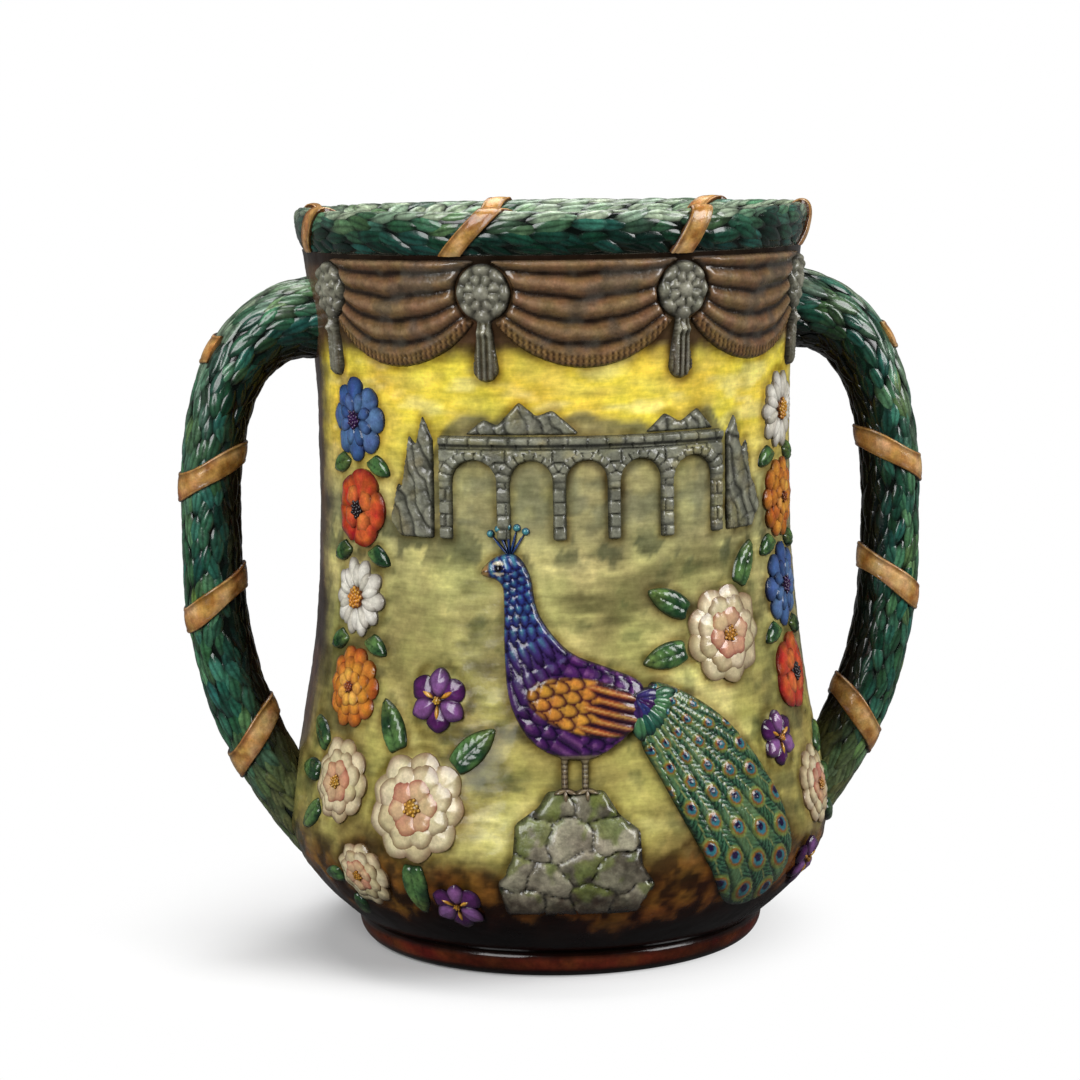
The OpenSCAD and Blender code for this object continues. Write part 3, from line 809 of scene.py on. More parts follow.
def make_rim():
    turns = 360
    clay = Clay("rim_garland")
    # The near-black core shows in the gaps between the leaves as dark glaze and painted shade
    core = rim_section(np.linspace(rim_seat, pi - rim_seat, 30), -1.1)
    core[[0, -1], 1] = NECK_Z
    clay.add(round_point(*revolved(core, turns)), [grid_faces(len(core), turns, True)], BLACK_GREEN)
    front = rim_run_at(radians(20))
    count = int(tau * RIM_MID_R / RIM_LEAF_GAP)
    for row, run in enumerate(np.arange(1.2, rim_run[-1] - 0.8, RIM_ROW_GAP)):
        spring = 0.3 * np.clip((run - front) / 8, -1, 1)
        # Painted light: leaves on the lower rows are darker, as shade, and those on the upper rows lighter,
        # with a pale painted reflection over the top
        light = ease(front - 8, front + 7, run)
        pale = ease(front - 1, front + 6, run)
        for k in range(count):
            spot = (k + 0.5 * (row % 2) + RNG.uniform(-0.3, 0.3)) * 360 / count
            grow = RNG.uniform(0.8, 1.1)
            place = rim_at(spot, run + RNG.uniform(-1, 1))
            tint = leaf_tint(place, light) * blend(0.5, 1, light)
            tint = mix(tint, PALE_GREEN, RNG.uniform(0, 1) * pale)
            lay_laurel(clay, place, RIM_LEAF, spring, grow, tint, BLACK_GREEN)
    clay.piece("laurel_rim", "laurel_green_glaze")


def handle_core(clay, side):
    """A near-black tube under the leaves, seen in their gaps as dark glaze and painted shade; each of its
    lines ends where it comes to the wall.
    """
    sides, rings, depth = 40, 120, -1.2

    def line(turn, runs, way):
        return handle_at(0, turn, way)(runs, np.zeros(len(runs)), np.full(len(runs), depth))

    lines = []
    for turn in tau * np.arange(sides) / sides:
        whole = line(turn, handle_run, 1)
        clear = handle_run[np.hypot(whole[:, 0], whole[:, 1]) > wall_r(whole[:, 2]) - 2]
        lines.append(line(turn, np.linspace(clear[0], clear[-1], rings), side))
    skin = np.stack(lines, 1).reshape(-1, 3)
    ends = [skin[:sides].mean(0), skin[-sides:].mean(0)]
    clay.add(np.vstack([skin, ends]), capped_faces(rings, sides), BLACK_GREEN)


def make_handle(side, hand):
    clay = Clay(f"{hand}_handle")
    handle_core(clay, side)
    end = handle_run[-1]
    for row, run in enumerate(np.arange(1, end - 2, HANDLE_ROW_GAP)):
        count = round(tau * float(np.interp(run, handle_run, handle_rad)) / HANDLE_LEAF_GAP)
        merge = ease(end - 62, end - 18, run)
        edge = mix(BLACK_GREEN, DARK_OLIVE, merge * 0.8)
        for k in range(count):
            turn = (k + 0.5 * (row % 2) + RNG.uniform(-0.32, 0.32)) * tau / count
            grow = RNG.uniform(0.8, 1.12)
            place = handle_at(run + RNG.uniform(-2.2, 2.2), turn, side)
            x, y, z = middle_of(place)
            if hypot(x, y) < float(wall_r(z)) - 1:
                continue
            # Painted light: leaves are lighter on the outer side and near black on the inner side, toward the
            # wall, as shade; on the outer side of the shoulder they get a pale painted reflection
            outward = cos(turn)
            tint = leaf_tint(place, 0.5 + 0.5 * outward) * blend(0.05, 1, ease(-0.8, 0.2, outward))
            pale = ease(0.1, 1, outward) * ease(HANDLE_REACH_Z - 20, HANDLE_TOP_Z, z)
            tint = layered(tint, (PALE_GREEN, pale * RNG.uniform(0, 0.45)),
                           (OLIVE, merge * RNG.uniform(0.3, 0.9)))
            lay_laurel(clay, place, HANDLE_LEAF, 0, grow, tint, edge)
    clay.piece(f"laurel_{hand}_handle", "laurel_green_glaze")


# Ribbons: crowned bands bound over the leaves

TAN = ink(190, 140, 78)
TAN_DARK = ink(96, 58, 24)

# Section of a ribbon: shares of its half width, and heights over the leaves
HALF_BAND = np.array([[-1, -0.9], [-1.02, 0.35], [-0.93, 0.78], [-0.8, 0.86], [-0.72, 0.74], [-0.4, 0.95]])
BAND = np.vstack([HALF_BAND, [[0, 1.02]], HALF_BAND[::-1] * [-1, 1]])

# Place along the handle's path, and first and last turn round it in degrees, of each handle ribbon
HANDLE_BANDS = ((0.4, -150, 34), (0.87, 0, 360), (1.2, 0, 360), (1.62, 0, 360))
HANDLE_BAND_HALF_W = 4.5
HANDLE_BAND_SLANT = 7

# Angle in degrees and share of the full slant, of each rim ribbon
RIM_BANDS = ((-75, 0.9), (-25, 1), (24, 0.5), (73, 0.7), (126, 0.7), (181, 0.9), (245, 0.8))
RIM_BAND_HALF_W = 4
RIM_BAND_SLANT = 20


def lay_band(clay, lines, closed):
    """A ribbon from lines of points that run along it, one for each corner of its section."""
    rings = np.stack(lines, 1)
    count, corners = rings.shape[:2]
    skin = rings.reshape(-1, 3)
    share = abs(np.tile(BAND[:, 0], count))
    cloud = bumps(skin, 6, 3, 8)
    paint = layered(TAN,
                    (ink(214, 172, 118), ease(0, 0.6, cloud)),
                    (ink(150, 96, 42), ease(0.05, 0.6, -cloud)),
                    (TAN_DARK, ease(0.66, 0.76, share) * ease(0.86, 0.78, share) * 0.8),
                    (TAN_DARK * 0.5, ease(0.9, 1, share)))
    if closed:
        clay.add(skin, [grid_faces(count, corners, True)], paint)
    else:
        skin = np.vstack([skin, rings[0].mean(0), rings[-1].mean(0)])
        clay.add(skin, capped_faces(count, corners), np.vstack([paint, TAN, TAN]))


def make_handle_ribbons(side, hand):
    """The top ribbon comes out from under the leaves, and the others go right round the handle."""
    clay = Clay(f"{hand}_handle_ribbons")
    for share, first, last in HANDLE_BANDS:
        run = float(np.interp(share, handle_t, handle_run))
        closed = last - first == 360
        turns = np.radians(np.linspace(first, last, 73))
        if closed:
            turns = turns[:-1]
        place = handle_at(run, 0, side)
        lines = []
        for across, lift in BAND:
            wobble = 0.35 * np.sin(3 * turns + share * 9) * np.sign(across)
            u = HANDLE_BAND_SLANT * np.cos(turns) + across * HANDLE_BAND_HALF_W + wobble
            rad = np.interp(run + u, handle_run, handle_rad)
            lines.append(place(u, turns * rad, np.full(len(turns), lift - 0.15)))
        lay_band(clay, lines, closed)
    clay.piece(f"tan_{hand}_ribbons", "tan_glaze")


def make_rim_ribbons():
    clay = Clay("rim_ribbons")
    runs = np.linspace(0.2, rim_run_at(pi * 0.83), 40)
    height = np.interp(runs, rim_run, rim_line[:, 1]) - NECK_Z
    over = np.clip(runs - rim_run_at(pi / 2), 0, None)
    lean = RIM_BAND_SLANT * ((height + 3) / (RIM_TOP - NECK_Z + 6) - 0.5) + 1.5 * over
    for angle, share in RIM_BANDS:
        place = rim_at(angle, 0)
        lines = [place(share * lean + across * RIM_BAND_HALF_W, runs, np.full(len(runs), lift - 0.1))
                 for across, lift in BAND]
        lay_band(clay, lines, False)
    clay.piece("tan_rim_ribbons", "tan_glaze")


# Frieze: brown drapery between grey rosettes

STRAND_W = 1.9
ROSETTE_R = 9.5


def sculpt_swag(u, v, depth):
    """Folds that hang between two rosettes, with a fringe along their lower edge."""
    sag = 18 + 17 * (1 - (u / abs(u).max()) ** 2)
    share = (v.max() - v) / sag
    spot = pair(u, v)
    fold = wave(4.6 * share - 0.1 + 0.12 * bumps(spot, 12, 2, 1.5)) ** 0.7
    fringe = ease(0.87, 0.9, share)
    strand = wave(u / STRAND_W)
    relief = 2.2 * (0.35 + 0.65 * blend(fold, 0.35 + 0.4 * strand, fringe))
    # The fold crests get a painted highlight and the hollows between the folds painted shade
    colour = layered(
        ink(28, 18, 11),
        (ink(112, 84, 54), ease(0.05, 0.6, fold)),
        (ink(154, 126, 94), ease(0.75, 1, fold) * 0.55),
        (ink(78, 74, 66), ease(0, 0.5, bumps(spot, 10, 3, 2.5)) * 0.5),
        (mix(ink(46, 30, 18), ink(140, 108, 66), strand), fringe),
        (ink(22, 14, 10), ease(1, 0.2, depth) * 0.8))
    return relief * rounded(depth, 2.2) - 0.2, colour


def sculpt_rosette(u, v, depth):
    """Two rings of eight petals round a boss, over a tassel with a collar."""
    rise = v - v.max() + ROSETTE_R
    r = np.hypot(u, rise) / ROSETTE_R
    a = 8 * np.arctan2(rise, u)
    outer = 0.45 + 0.55 * np.sqrt(0.5 + 0.5 * np.cos(a)) * np.sin(pi * np.clip((r - 0.5) / 0.55, 0, 1))
    inner = 0.55 + 0.5 * np.sqrt(0.5 + 0.5 * np.cos(a + pi)) * np.sin(pi * (r - 0.15) / 0.55)
    boss = 0.6 + 0.6 * np.sqrt(np.clip(1 - (r / 0.29) ** 2, 0, 1))
    flower = np.where(r > 0.62, outer, np.where(r > 0.27, inner, boss))
    strand = wave(u / STRAND_W)
    collar = np.exp(-((rise + ROSETTE_R + 3.2) / 1.1) ** 2)
    tassel = ease(1, 1.04, r)
    form = blend(flower, 0.45 + 0.4 * strand + 0.45 * collar, tassel)
    # The raised parts of the rosette are painted lighter and the low parts darker: painted highlight and
    # shade
    colour = layered(
        ink(34, 32, 26),
        (ink(126, 124, 108), ease(0.3, 0.95, form)),
        (ink(166, 164, 146), ease(0.9, 1.15, form) * 0.6),
        (ink(98, 84, 56), tassel * (1 - strand) * 0.5),
        (ink(18, 16, 12), ease(0.9, 0.2, depth) * 0.85))
    return 3 * form * rounded(depth, 2) - 0.2, colour


# Bridge, crags and rock: grey stone

ARCH_PITCH = 2 * WAIST_R * sin(radians(35.7)) / 5.2
ARCH_W = ARCH_PITCH * 0.757
ARCH_RING = ARCH_W / 2 + 2.9
BRIDGE_TOP = WAIST_Z + 6
ARCH_SPRING = BRIDGE_TOP - 8 - ARCH_W / 2
COURSE_H = 4.3
BLOCK_W = 7.4
COPING_W = 6.2
STONE = ink(122, 122, 106)
STONE_DARK = ink(30, 30, 25)
ROCK_ANGLE = -6
BOULDERS = np.array([(-15, 31), (-3, 29), (9, 32), (22, 30), (-17, 43), (-6, 41), (6, 44), (18, 42),
                     (-11, 54), (1, 54), (14, 55), (-4, 64), (9, 65)], float)


def sculpt_bridge(u, v, depth):
    """Coursed blocks with a ring of wedges over each arch and a coping along the top."""
    x = wall_r(v) * np.sin(u / wall_r(v))
    spot = pair(x, v)
    wander = 0.25 * bumps(spot, 8, 2, 3.5)
    course = (BRIDGE_TOP - v + wander) / COURSE_H
    row = np.floor(course)
    block = x / BLOCK_W + 0.5 * (row % 2) + wander * 0.1
    worn = bumps(pair(np.floor(block) * 3.7, row * 5.1), 1, 1, 4.5)
    joint = np.maximum(seam(course, 0.72), seam(block, 0.84))
    height = 1.75 + 0.25 * worn - 0.75 * joint
    span = np.clip(np.round(x / ARCH_PITCH), -2, 2) * ARCH_PITCH
    rise = v - ARCH_SPRING
    reach = np.hypot(x - span, np.maximum(rise, 0))
    ring = (rise > 0) & (reach < ARCH_RING)
    wedge = seam(np.arctan2(rise, x - span) * 9 / pi, 0.7)
    line = np.where(ring, ease(0.45, 0.1, abs(reach - ARCH_RING)), 0)
    coping = ease(2.9, 2.6, BRIDGE_TOP - v)
    cut = seam(x / COPING_W, 0.8) * coping
    height = blend(np.where(ring, 2.15 - 0.7 * wedge, height), 2.4 - 0.6 * cut, coping)
    joint = blend(np.where(ring, wedge, joint), cut, coping)
    under = ease(0.7, 0.2, abs(BRIDGE_TOP - v - 3.1))
    wash = bumps(spot, 11, 3, 5.5)
    colour = layered(
        STONE * 0.72,
        (STONE * 1.25, ease(-0.5, 0.6, worn + 0.5 * wash)),
        (ink(150, 140, 86), ease(0.1, 0.7, wash) * 0.45),
        (STONE_DARK, np.clip(0.75 * joint + line + under, 0, 0.9)),
        (STONE_DARK * 0.6, ease(0.8, 0.1, depth) * 0.85))
    return height * rounded(depth, 1) - 0.15, colour


def sculpt_crag(u, v, depth):
    """Slanted ledges of rock, pale where they catch the light and dark in the cracks between them."""
    spot = pair(u, v)
    grain = bumps(spot, 3, 3, 6.5)
    ledge = part_of((u + 0.45 * v + 3.2 * bumps(spot, 9, 2, 7.5)) / 5.2)
    break_line = 0.6 * seam((v - 0.5 * u + 3 * bumps(spot, 8, 2, 9.5)) / 7.5, 0.8, 1)
    crack = np.maximum(ease(0.8, 0.97, ledge) + ease(0.16, 0, ledge), break_line)
    colour = layered(
        STONE * 1.25,
        (STONE * 0.6, ease(0.1, 0.9, ledge + 0.35 * grain)),
        (ink(128, 116, 70), ease(0, 0.5, bumps(spot, 12, 3, 8.5)) * 0.45),
        (STONE_DARK, crack * 0.85),
        (STONE_DARK * 0.6, ease(0.9, 0.1, depth) * 0.8))
    relief = 1.5 - 0.55 * ledge * ease(1, 0.8, ledge) - 0.5 * crack + 0.15 * grain
    return relief * rounded(depth, 1.2) - 0.15, colour


def sculpt_rock(u, v, depth):
    """Piled stones with dark cracks between them, moss on top and earth below."""
    spot = pair(u, v)
    bent = spot + 2.4 * pair(bumps(spot, 9, 2, 9.5), bumps(spot, 9, 2, 10.5))
    gaps = np.linalg.norm((bent[:, None] - BOULDERS) * np.array([0.85, 1.15]), axis=2)
    stone = np.argmin(gaps, axis=1)
    near = np.sort(gaps, axis=1)
    swell = rounded(near[:, 1] - near[:, 0], 6)
    offset = bent - BOULDERS[stone]
    lean = offset[:, 0] * np.cos(2.4 * stone) + offset[:, 1] * np.sin(2.4 * stone)
    grain = bumps(spot, 2.6, 3, 11.5)
    moss = bumps(spot, 8, 3, 12.5) + 0.018 * (v - 44) + 0.05 * offset[:, 1]
    edge = depth - 1.6 * ease(0.75, 0.1, swell) - 0.8 * (0.5 + bumps(spot, 4, 2, 13.5))
    tone = 0.5 + 0.3 * np.sin(5.1 * stone) + 0.06 * lean + 0.35 * grain
    colour = layered(
        ink(72, 66, 54),
        (ink(152, 146, 124), np.clip(tone, 0, 1)),
        (ink(98, 108, 48), ease(0.1, 0.4, moss) * 0.7),
        (ink(44, 26, 16), ease(40, 28, v + 4 * grain) * 0.75),
        (ink(16, 13, 10), np.clip(ease(0.6, 0.15, swell) + 0.8 * ease(1.2, 0.1, edge), 0, 0.92)))
    relief = 0.5 + 1.6 * swell + 0.06 * lean + 0.16 * grain
    return relief * rounded(np.maximum(edge, 0), 2.6) - 0.15, colour


# Peacock: a violet and blue bird in low relief, with a green train of eyed feathers
# Places on the bird are counted across from its angle and up from the table

BIRD_ANGLE = -8
NECK_LINE = [(-17, 141), (-12.5, 130), (-11, 117), (-5, 104), (8, 95), (31, 96)]
EYE = (-17.3, 141.2)
BEAK = (-21, 140.2)
CREST = (-14, 144.5)
CREST_H = 10
WING = (11, 96)
WING_HALF = (20.5, 9.2)
WING_TILT = radians(-14)
RUMP = (26, 98.5)
LEGS = (3.2, 10.2)
LEGS_TOP = 80.5
PERCH_Z = 69
TRAIN_ANGLE = 27.2
TRAIN_ROOT = (-32, 108)
EYE_PITCH = 15
FEATHER_SPREAD = 5.6

# Rows of feathers over the root of the train: start, count, dark tint and pale tint
COVERTS = ((3, 6, ink(34, 84, 70), ink(78, 126, 84)), (-2.5, 4, ink(66, 28, 84), ink(44, 62, 122)))


def scales(along, across):
    """Overlapping scales of unit size: 1 in the middle of each and 0 at its edge."""
    row = np.floor(along)
    a = along - row
    b = across + 0.5 * (row % 2)
    upper = 1 - (a ** 2 + (2 * (b - np.round(b))) ** 2 * 0.8)
    c = across + 0.5 * ((row + 1) % 2)
    under = 1 - ((a - 1) ** 2 * 0.4 + (2 * (c - np.round(c))) ** 2)
    return np.clip(np.where(upper > 0, upper, 0.55 * under), 0, 1)


def sculpt_bird(u, v, depth):
    run, off = along_line(u, v, NECK_LINE)
    size = 2.6 + 1.9 * ease(10, 50, run)
    plume = scales(run / size, off / size)
    x, y = u - WING[0], v - WING[1]
    p = (cos(WING_TILT) * x + sin(WING_TILT) * y) / WING_HALF[0]
    q = (-sin(WING_TILT) * x + cos(WING_TILT) * y) / WING_HALF[1]
    rim = np.hypot(p, q)
    wing = ease(1.02, 0.94, rim)
    cover = scales((p + 1) * WING_HALF[0] / 4.4, q * WING_HALF[1] / 4.4)
    quill = wave(q * WING_HALF[1] / 3.3 + 0.35 * p)
    long_part = ease(-0.05, 0.1, p + 0.12 * np.cos(q * 9))
    cover_tint = mix(ink(60, 20, 30), ink(190, 132, 52), ease(0.1, 0.8, cover))
    quill_tint = layered(
        ink(40, 14, 30),
        (mix(ink(150, 84, 40), ink(96, 40, 52), ease(0.2, 0.9, p)), ease(0.15, 0.75, quill)),
        (ink(206, 164, 92), ease(0.86, 1, quill) * 0.6))
    wing_tint = layered(cover_tint, (quill_tint, long_part), (ink(18, 6, 18), ease(0.86, 1, rim) * 0.8))
    mouth = ease(0.4, 0.1, abs(v - BEAK[1] - 0.25 * (u - BEAK[0])))
    eye = np.hypot(u - EYE[0], v - EYE[1])
    legs = ease(LEGS_TOP + 1, LEGS_TOP - 1, v)
    band = 0.5 + 0.5 * np.cos(v * 4)
    colour = layered(
        ink(20, 8, 40),
        (mix(ink(40, 58, 120), ink(66, 28, 84), ease(12, 44, run)), ease(0.1, 0.75, plume)),
        (ink(72, 130, 142), ease(0.72, 0.98, plume) * ease(46, 16, run) * 0.7),
        (ink(150, 98, 150), ease(0.78, 1, plume) * ease(30, 50, run) * 0.4),
        (wing_tint, wing),
        (mix(ink(150, 120, 70), ink(60, 44, 26), mouth), ease(BEAK[0] + 0.8, BEAK[0] - 0.2, u)),
        (ink(206, 196, 168), ease(2.5, 2.1, eye) * ease(1.2, 1.5, abs(v - EYE[1]))),
        (ink(8, 5, 8), ease(1.35, 1.1, eye)),
        (mix(ink(66, 54, 40), ink(132, 118, 90), band), legs),
        (ink(10, 3, 12), ease(0.8, 0.1, depth) * 0.8))
    relief = 2.2 + 1.5 * ease(1, 9, depth) + 0.45 * plume + 0.5 * ease(1.4, 0.6, eye)
    relief += wing * (0.5 + 0.35 * blend(cover, quill, long_part) - 0.45 * plume - 0.5 * ease(0.9, 1, rim))
    relief = blend(relief, 1.9 + 0.15 * band, legs)
    return relief * rounded(depth, 2.4) - 0.15, colour


def dress_bird(clay):
    """Crest, feathers over the root of the train and toes, on the front and on the back."""
    for angle in (BIRD_ANGLE, BIRD_ANGLE + 180):
        place = wall_at(angle, 0)
        head = moved(place, *CREST)
        for turn in np.radians([58, 76, 94, 112, 130]):
            lay_leaf(clay, head, turn, 0, CREST_H, 1, 0.8, ink(40, 60, 110), ink(12, 12, 36), sides=10,
                     rings=2)
            lay_bead(clay, head, CREST_H * cos(turn), CREST_H * sin(turn), 1.35, 1.1,
                     ink(66, 130, 140), ink(24, 20, 60))
        for row, (start, count, dark, pale) in enumerate(COVERTS):
            for turn in np.radians(np.linspace(2, -80, count)):
                tint = mix(dark, pale, RNG.uniform(0, 1))
                lay_leaf(clay, moved(place, *RUMP), turn, start, 11.5, 5, 1, tint, ink(8, 10, 20),
                         skew=1.5, blunt=0.6, tilt=-0.8, base=2.4 + 0.5 * row, rib=-0.25, vein=0.5)
        for leg in LEGS:
            for turn in np.radians([-20, -88, -160]):
                lay_leaf(clay, moved(place, leg, PERCH_Z + 0.6), turn, -0.6, 4.6, 1.5, 0.7, ink(118, 104, 78),
                         ink(52, 42, 30), base=1.9, sides=12, rings=2)


def sculpt_train(u, v, depth):
    """Feathers that spread from the rump, each with a line of eyes that grow toward its end."""
    x, y = u - TRAIN_ROOT[0], TRAIN_ROOT[1] - v
    reach = np.hypot(x, y)
    turn = np.degrees(np.arctan2(y, x))
    feather = np.round(turn / FEATHER_SPREAD)
    across = np.radians(turn - feather * FEATHER_SPREAD) * reach
    half = np.radians(FEATHER_SPREAD / 2) * reach
    along = reach - 6 - EYE_PITCH * 0.5 * (feather % 2)
    along = along - np.round(along / EYE_PITCH) * EYE_PITCH
    size = 0.9 + 0.034 * reach
    ring = np.hypot(along / (1.25 * size), across / size)
    pupil = np.hypot((along + 0.25 * size) / (1.25 * size), across / size)
    barb = wave(abs(across) * 0.55 - along * 0.5)
    edge = ease(0.72, 1, abs(across) / half)
    colour = layered(
        ink(12, 40, 28),
        (ink(60, 100, 72), ease(0.1, 0.9, barb)),
        (ink(96, 122, 80), ease(-0.1, 0.6, bumps(pair(u, v), 11, 3, 12.5)) * 0.6),
        (ink(8, 24, 18), edge * 0.75),
        (ink(128, 132, 78), ease(0.32, 0.12, abs(across)) * ease(1, 1.1, ring) * 0.8),
        (ink(116, 126, 60), ease(1.1, 0.95, ring) * 0.85),
        (ink(132, 84, 34), ease(0.82, 0.72, ring)),
        (ink(46, 110, 122), ease(0.6, 0.52, ring)),
        (ink(26, 12, 52), ease(0.4, 0.32, pupil)),
        (ink(6, 16, 12), ease(1, 0.1, depth) * 0.85))
    relief = 1.7 + 0.6 * ease(1, 6, depth) + 0.25 * barb - 0.5 * edge + 0.4 * ease(1.05, 0.2, ring)
    return relief * rounded(depth, 2) - 0.15, colour


# Leaves and blooms: rings of petals round a heart of beads

GOLDEN_TURN = 2.39996


def sculpt_leaf(u, v, depth):
    """A leaf with its midrib along the longest way across its outline."""
    spot = pair(u, v)
    spot = spot - spot.mean(0)
    across, along = (spot @ np.linalg.eigh(spot.T @ spot)[1]).T
    if along[np.argmax(np.hypot(along, across))] < 0:
        along = -along
    rib = np.exp(-(across / 0.35) ** 2)
    vein = wave(along * 0.34 - abs(across) * 0.3)
    colour = layered(
        ink(30, 62, 36),
        (ink(86, 122, 66), ease(-0.4, 0.5, bumps(spot, 6, 2, u[0] * 0.3))),
        (ink(136, 150, 74), ease(0.1, 1, along / along.max()) * 0.4),
        (ink(14, 32, 20), np.clip(0.6 * rib + 0.35 * ease(0.8, 1, vein), 0, 1)),
        (ink(8, 18, 12), ease(0.9, 0.1, depth) * 0.8))
    relief = 1.15 + 0.5 * ease(0, 2.5, depth) - 0.35 * rib + 0.15 * vein
    return relief * rounded(depth, 1.4) - 0.15, colour


class Bloom:
    """A bloom on a bed of its edge tint. Sizes across the wall are shares of its radius."""

    def __init__(self, clay, place, radius, edge, bed=0.7, bed_height=0.9, sides=18):
        self.clay, self.place, self.radius, self.edge = clay, place, radius, edge
        lay_bead(clay, place, 0, 0, radius * bed, bed_height, edge, edge, sides=sides)

    def ring(self, count, offset, start, length, width, height, base, tints, edge=None, **form):
        for k in range(count):
            turn = (k + offset) * tau / count + RNG.uniform(-0.06, 0.06)
            tint = mix(tints[0], tints[1], RNG.uniform(0, 1))
            size = self.radius * RNG.uniform(0.94, 1.04)
            lay_leaf(self.clay, self.place, turn, self.radius * start, length * size, width * size, height,
                     tint, self.edge if edge is None else edge, base=base, **form)

    def heart(self, share, count, base, tint, edge):
        radius = self.radius * share
        lay_bead(self.clay, self.place, 0, 0, radius, 0.9, tint * 0.7, edge, base - 0.4, 16)
        for k in range(count):
            r = radius * 0.92 * sqrt((k + 0.5) / count)
            a = GOLDEN_TURN * k
            lay_bead(self.clay, self.place, r * cos(a), r * sin(a), radius * 0.24, 0.5,
                     tint * RNG.uniform(0.8, 1.2), edge, base=base + 0.35 * (1 - (r / radius) ** 2), sides=8,
                     rings=2, floor=base - 0.6)


def peony(*patch):
    pale = (ink(196, 180, 138), ink(222, 208, 172))
    warm = (ink(206, 176, 136), ink(198, 142, 112))
    broad = dict(blunt=0.55, skew=1.25, ruffle=0.22, rib=0.15, rings=5)
    bloom = Bloom(*patch, ink(112, 84, 54), bed=0.8, bed_height=1, sides=20)
    bloom.ring(9, 0, 0.25, 0.74, 0.68, 0.9, 0.5, pale, sides=22, **broad)
    bloom.ring(8, 0.5, 0.12, 0.64, 0.58, 0.8, 1.1, pale, tilt=0.4, sides=20, **broad)
    bloom.ring(6, 0.2, 0.04, 0.47, 0.46, 0.7, 1.7, warm, ink(140, 72, 56), blunt=0.55, skew=1.2, ruffle=0.2,
               tilt=0.5, sides=18)
    bloom.heart(0.17, 14, 2.5, ink(196, 142, 48), ink(90, 50, 20))


def iris(*patch):
    deep = (ink(64, 22, 70), ink(84, 34, 92))
    pale = (ink(112, 66, 122), ink(136, 92, 144))
    gold = (ink(190, 130, 40), ink(214, 162, 66))
    smooth = dict(sides=22, rings=5)
    bloom = Bloom(*patch, ink(24, 8, 28), bed=0.62)
    bloom.ring(3, 0.25, 0.05, 0.94, 0.8, 1.1, 0.5, deep, blunt=0.6, skew=1.5, ruffle=0.25, rib=0.2, **smooth)
    bloom.ring(3, 0.75, 0.05, 0.9, 0.66, 1.2, 1, pale, blunt=0.65, skew=1.2, ruffle=0.2, rib=0.25, **smooth)
    bloom.ring(3, 0.25, 0.12, 0.5, 0.17, 0.7, 1.4, gold, ink(96, 54, 16))
    bloom.heart(0.13, 7, 2, ink(206, 150, 54), ink(80, 44, 16))


def cornflower(*patch):
    blue = (ink(58, 88, 146), ink(92, 124, 168))
    bloom = Bloom(*patch, ink(14, 20, 48))
    bloom.ring(8, 0, 0.2, 0.8, 0.62, 1, 0.5, blue, blunt=0.45, skew=1.7, ruffle=0.2, rib=0.25, sides=20)
    bloom.ring(8, 0.5, 0.1, 0.55, 0.36, 0.9, 1.1, (blue[0] * 0.8, blue[1]), blunt=0.5, skew=1.5, tilt=0.3)
    bloom.heart(0.22, 16, 1.8, ink(66, 30, 88), ink(16, 6, 26))


def poppy(*patch):
    red = (ink(184, 58, 34), ink(206, 88, 46))
    bloom = Bloom(*patch, ink(84, 18, 12))
    glow = (red[1], ink(222, 120, 62))
    bloom.ring(5, 0, 0.06, 0.92, 1.02, 1, 0.5, red, blunt=0.55, skew=1.45, ruffle=0.3, rib=0.1, sides=26,
               rings=5)
    bloom.ring(4, 0.4, 0.04, 0.6, 0.62, 0.9, 1.2, glow, blunt=0.6, skew=1.4, ruffle=0.2, sides=20)
    bloom.heart(0.22, 16, 1.9, ink(36, 22, 26), ink(10, 4, 6))


def daisy(*patch):
    white = (ink(204, 198, 182), ink(232, 228, 216))
    bloom = Bloom(*patch, ink(112, 104, 92))
    bloom.ring(10, 0, 0.22, 0.77, 0.46, 1, 0.5, white, blunt=0.5, skew=1.3, rib=0.25)
    bloom.ring(10, 0.5, 0.2, 0.62, 0.34, 0.9, 1, white, blunt=0.5, skew=1.3, rib=0.2)
    bloom.heart(0.27, 22, 1.7, ink(214, 150, 48), ink(110, 56, 16))


def marigold(*patch):
    warm = (ink(186, 104, 34), ink(212, 138, 52))
    glow = (ink(214, 138, 50), ink(230, 172, 82))
    bloom = Bloom(*patch, ink(96, 42, 12), bed=0.75)
    bloom.ring(10, 0, 0.35, 0.64, 0.56, 0.9, 0.5, warm, blunt=0.5, skew=1.4, ruffle=0.15, rib=0.15)
    bloom.ring(9, 0.5, 0.2, 0.54, 0.46, 0.8, 1, warm, blunt=0.5, skew=1.4, tilt=0.2)
    bloom.ring(7, 0, 0.08, 0.42, 0.36, 0.7, 1.5, glow, blunt=0.5, skew=1.3, tilt=0.3)
    bloom.heart(0.15, 10, 2.1, ink(150, 76, 24), ink(70, 30, 8))


def blooms(node, flower):
    clay = Clay(node)
    for loop in front_loops(node):
        at, height, local = centred(loop)
        flower(clay, wall_at(at, height), float(np.ptp(local[:, 1])) / 2)
    return clay


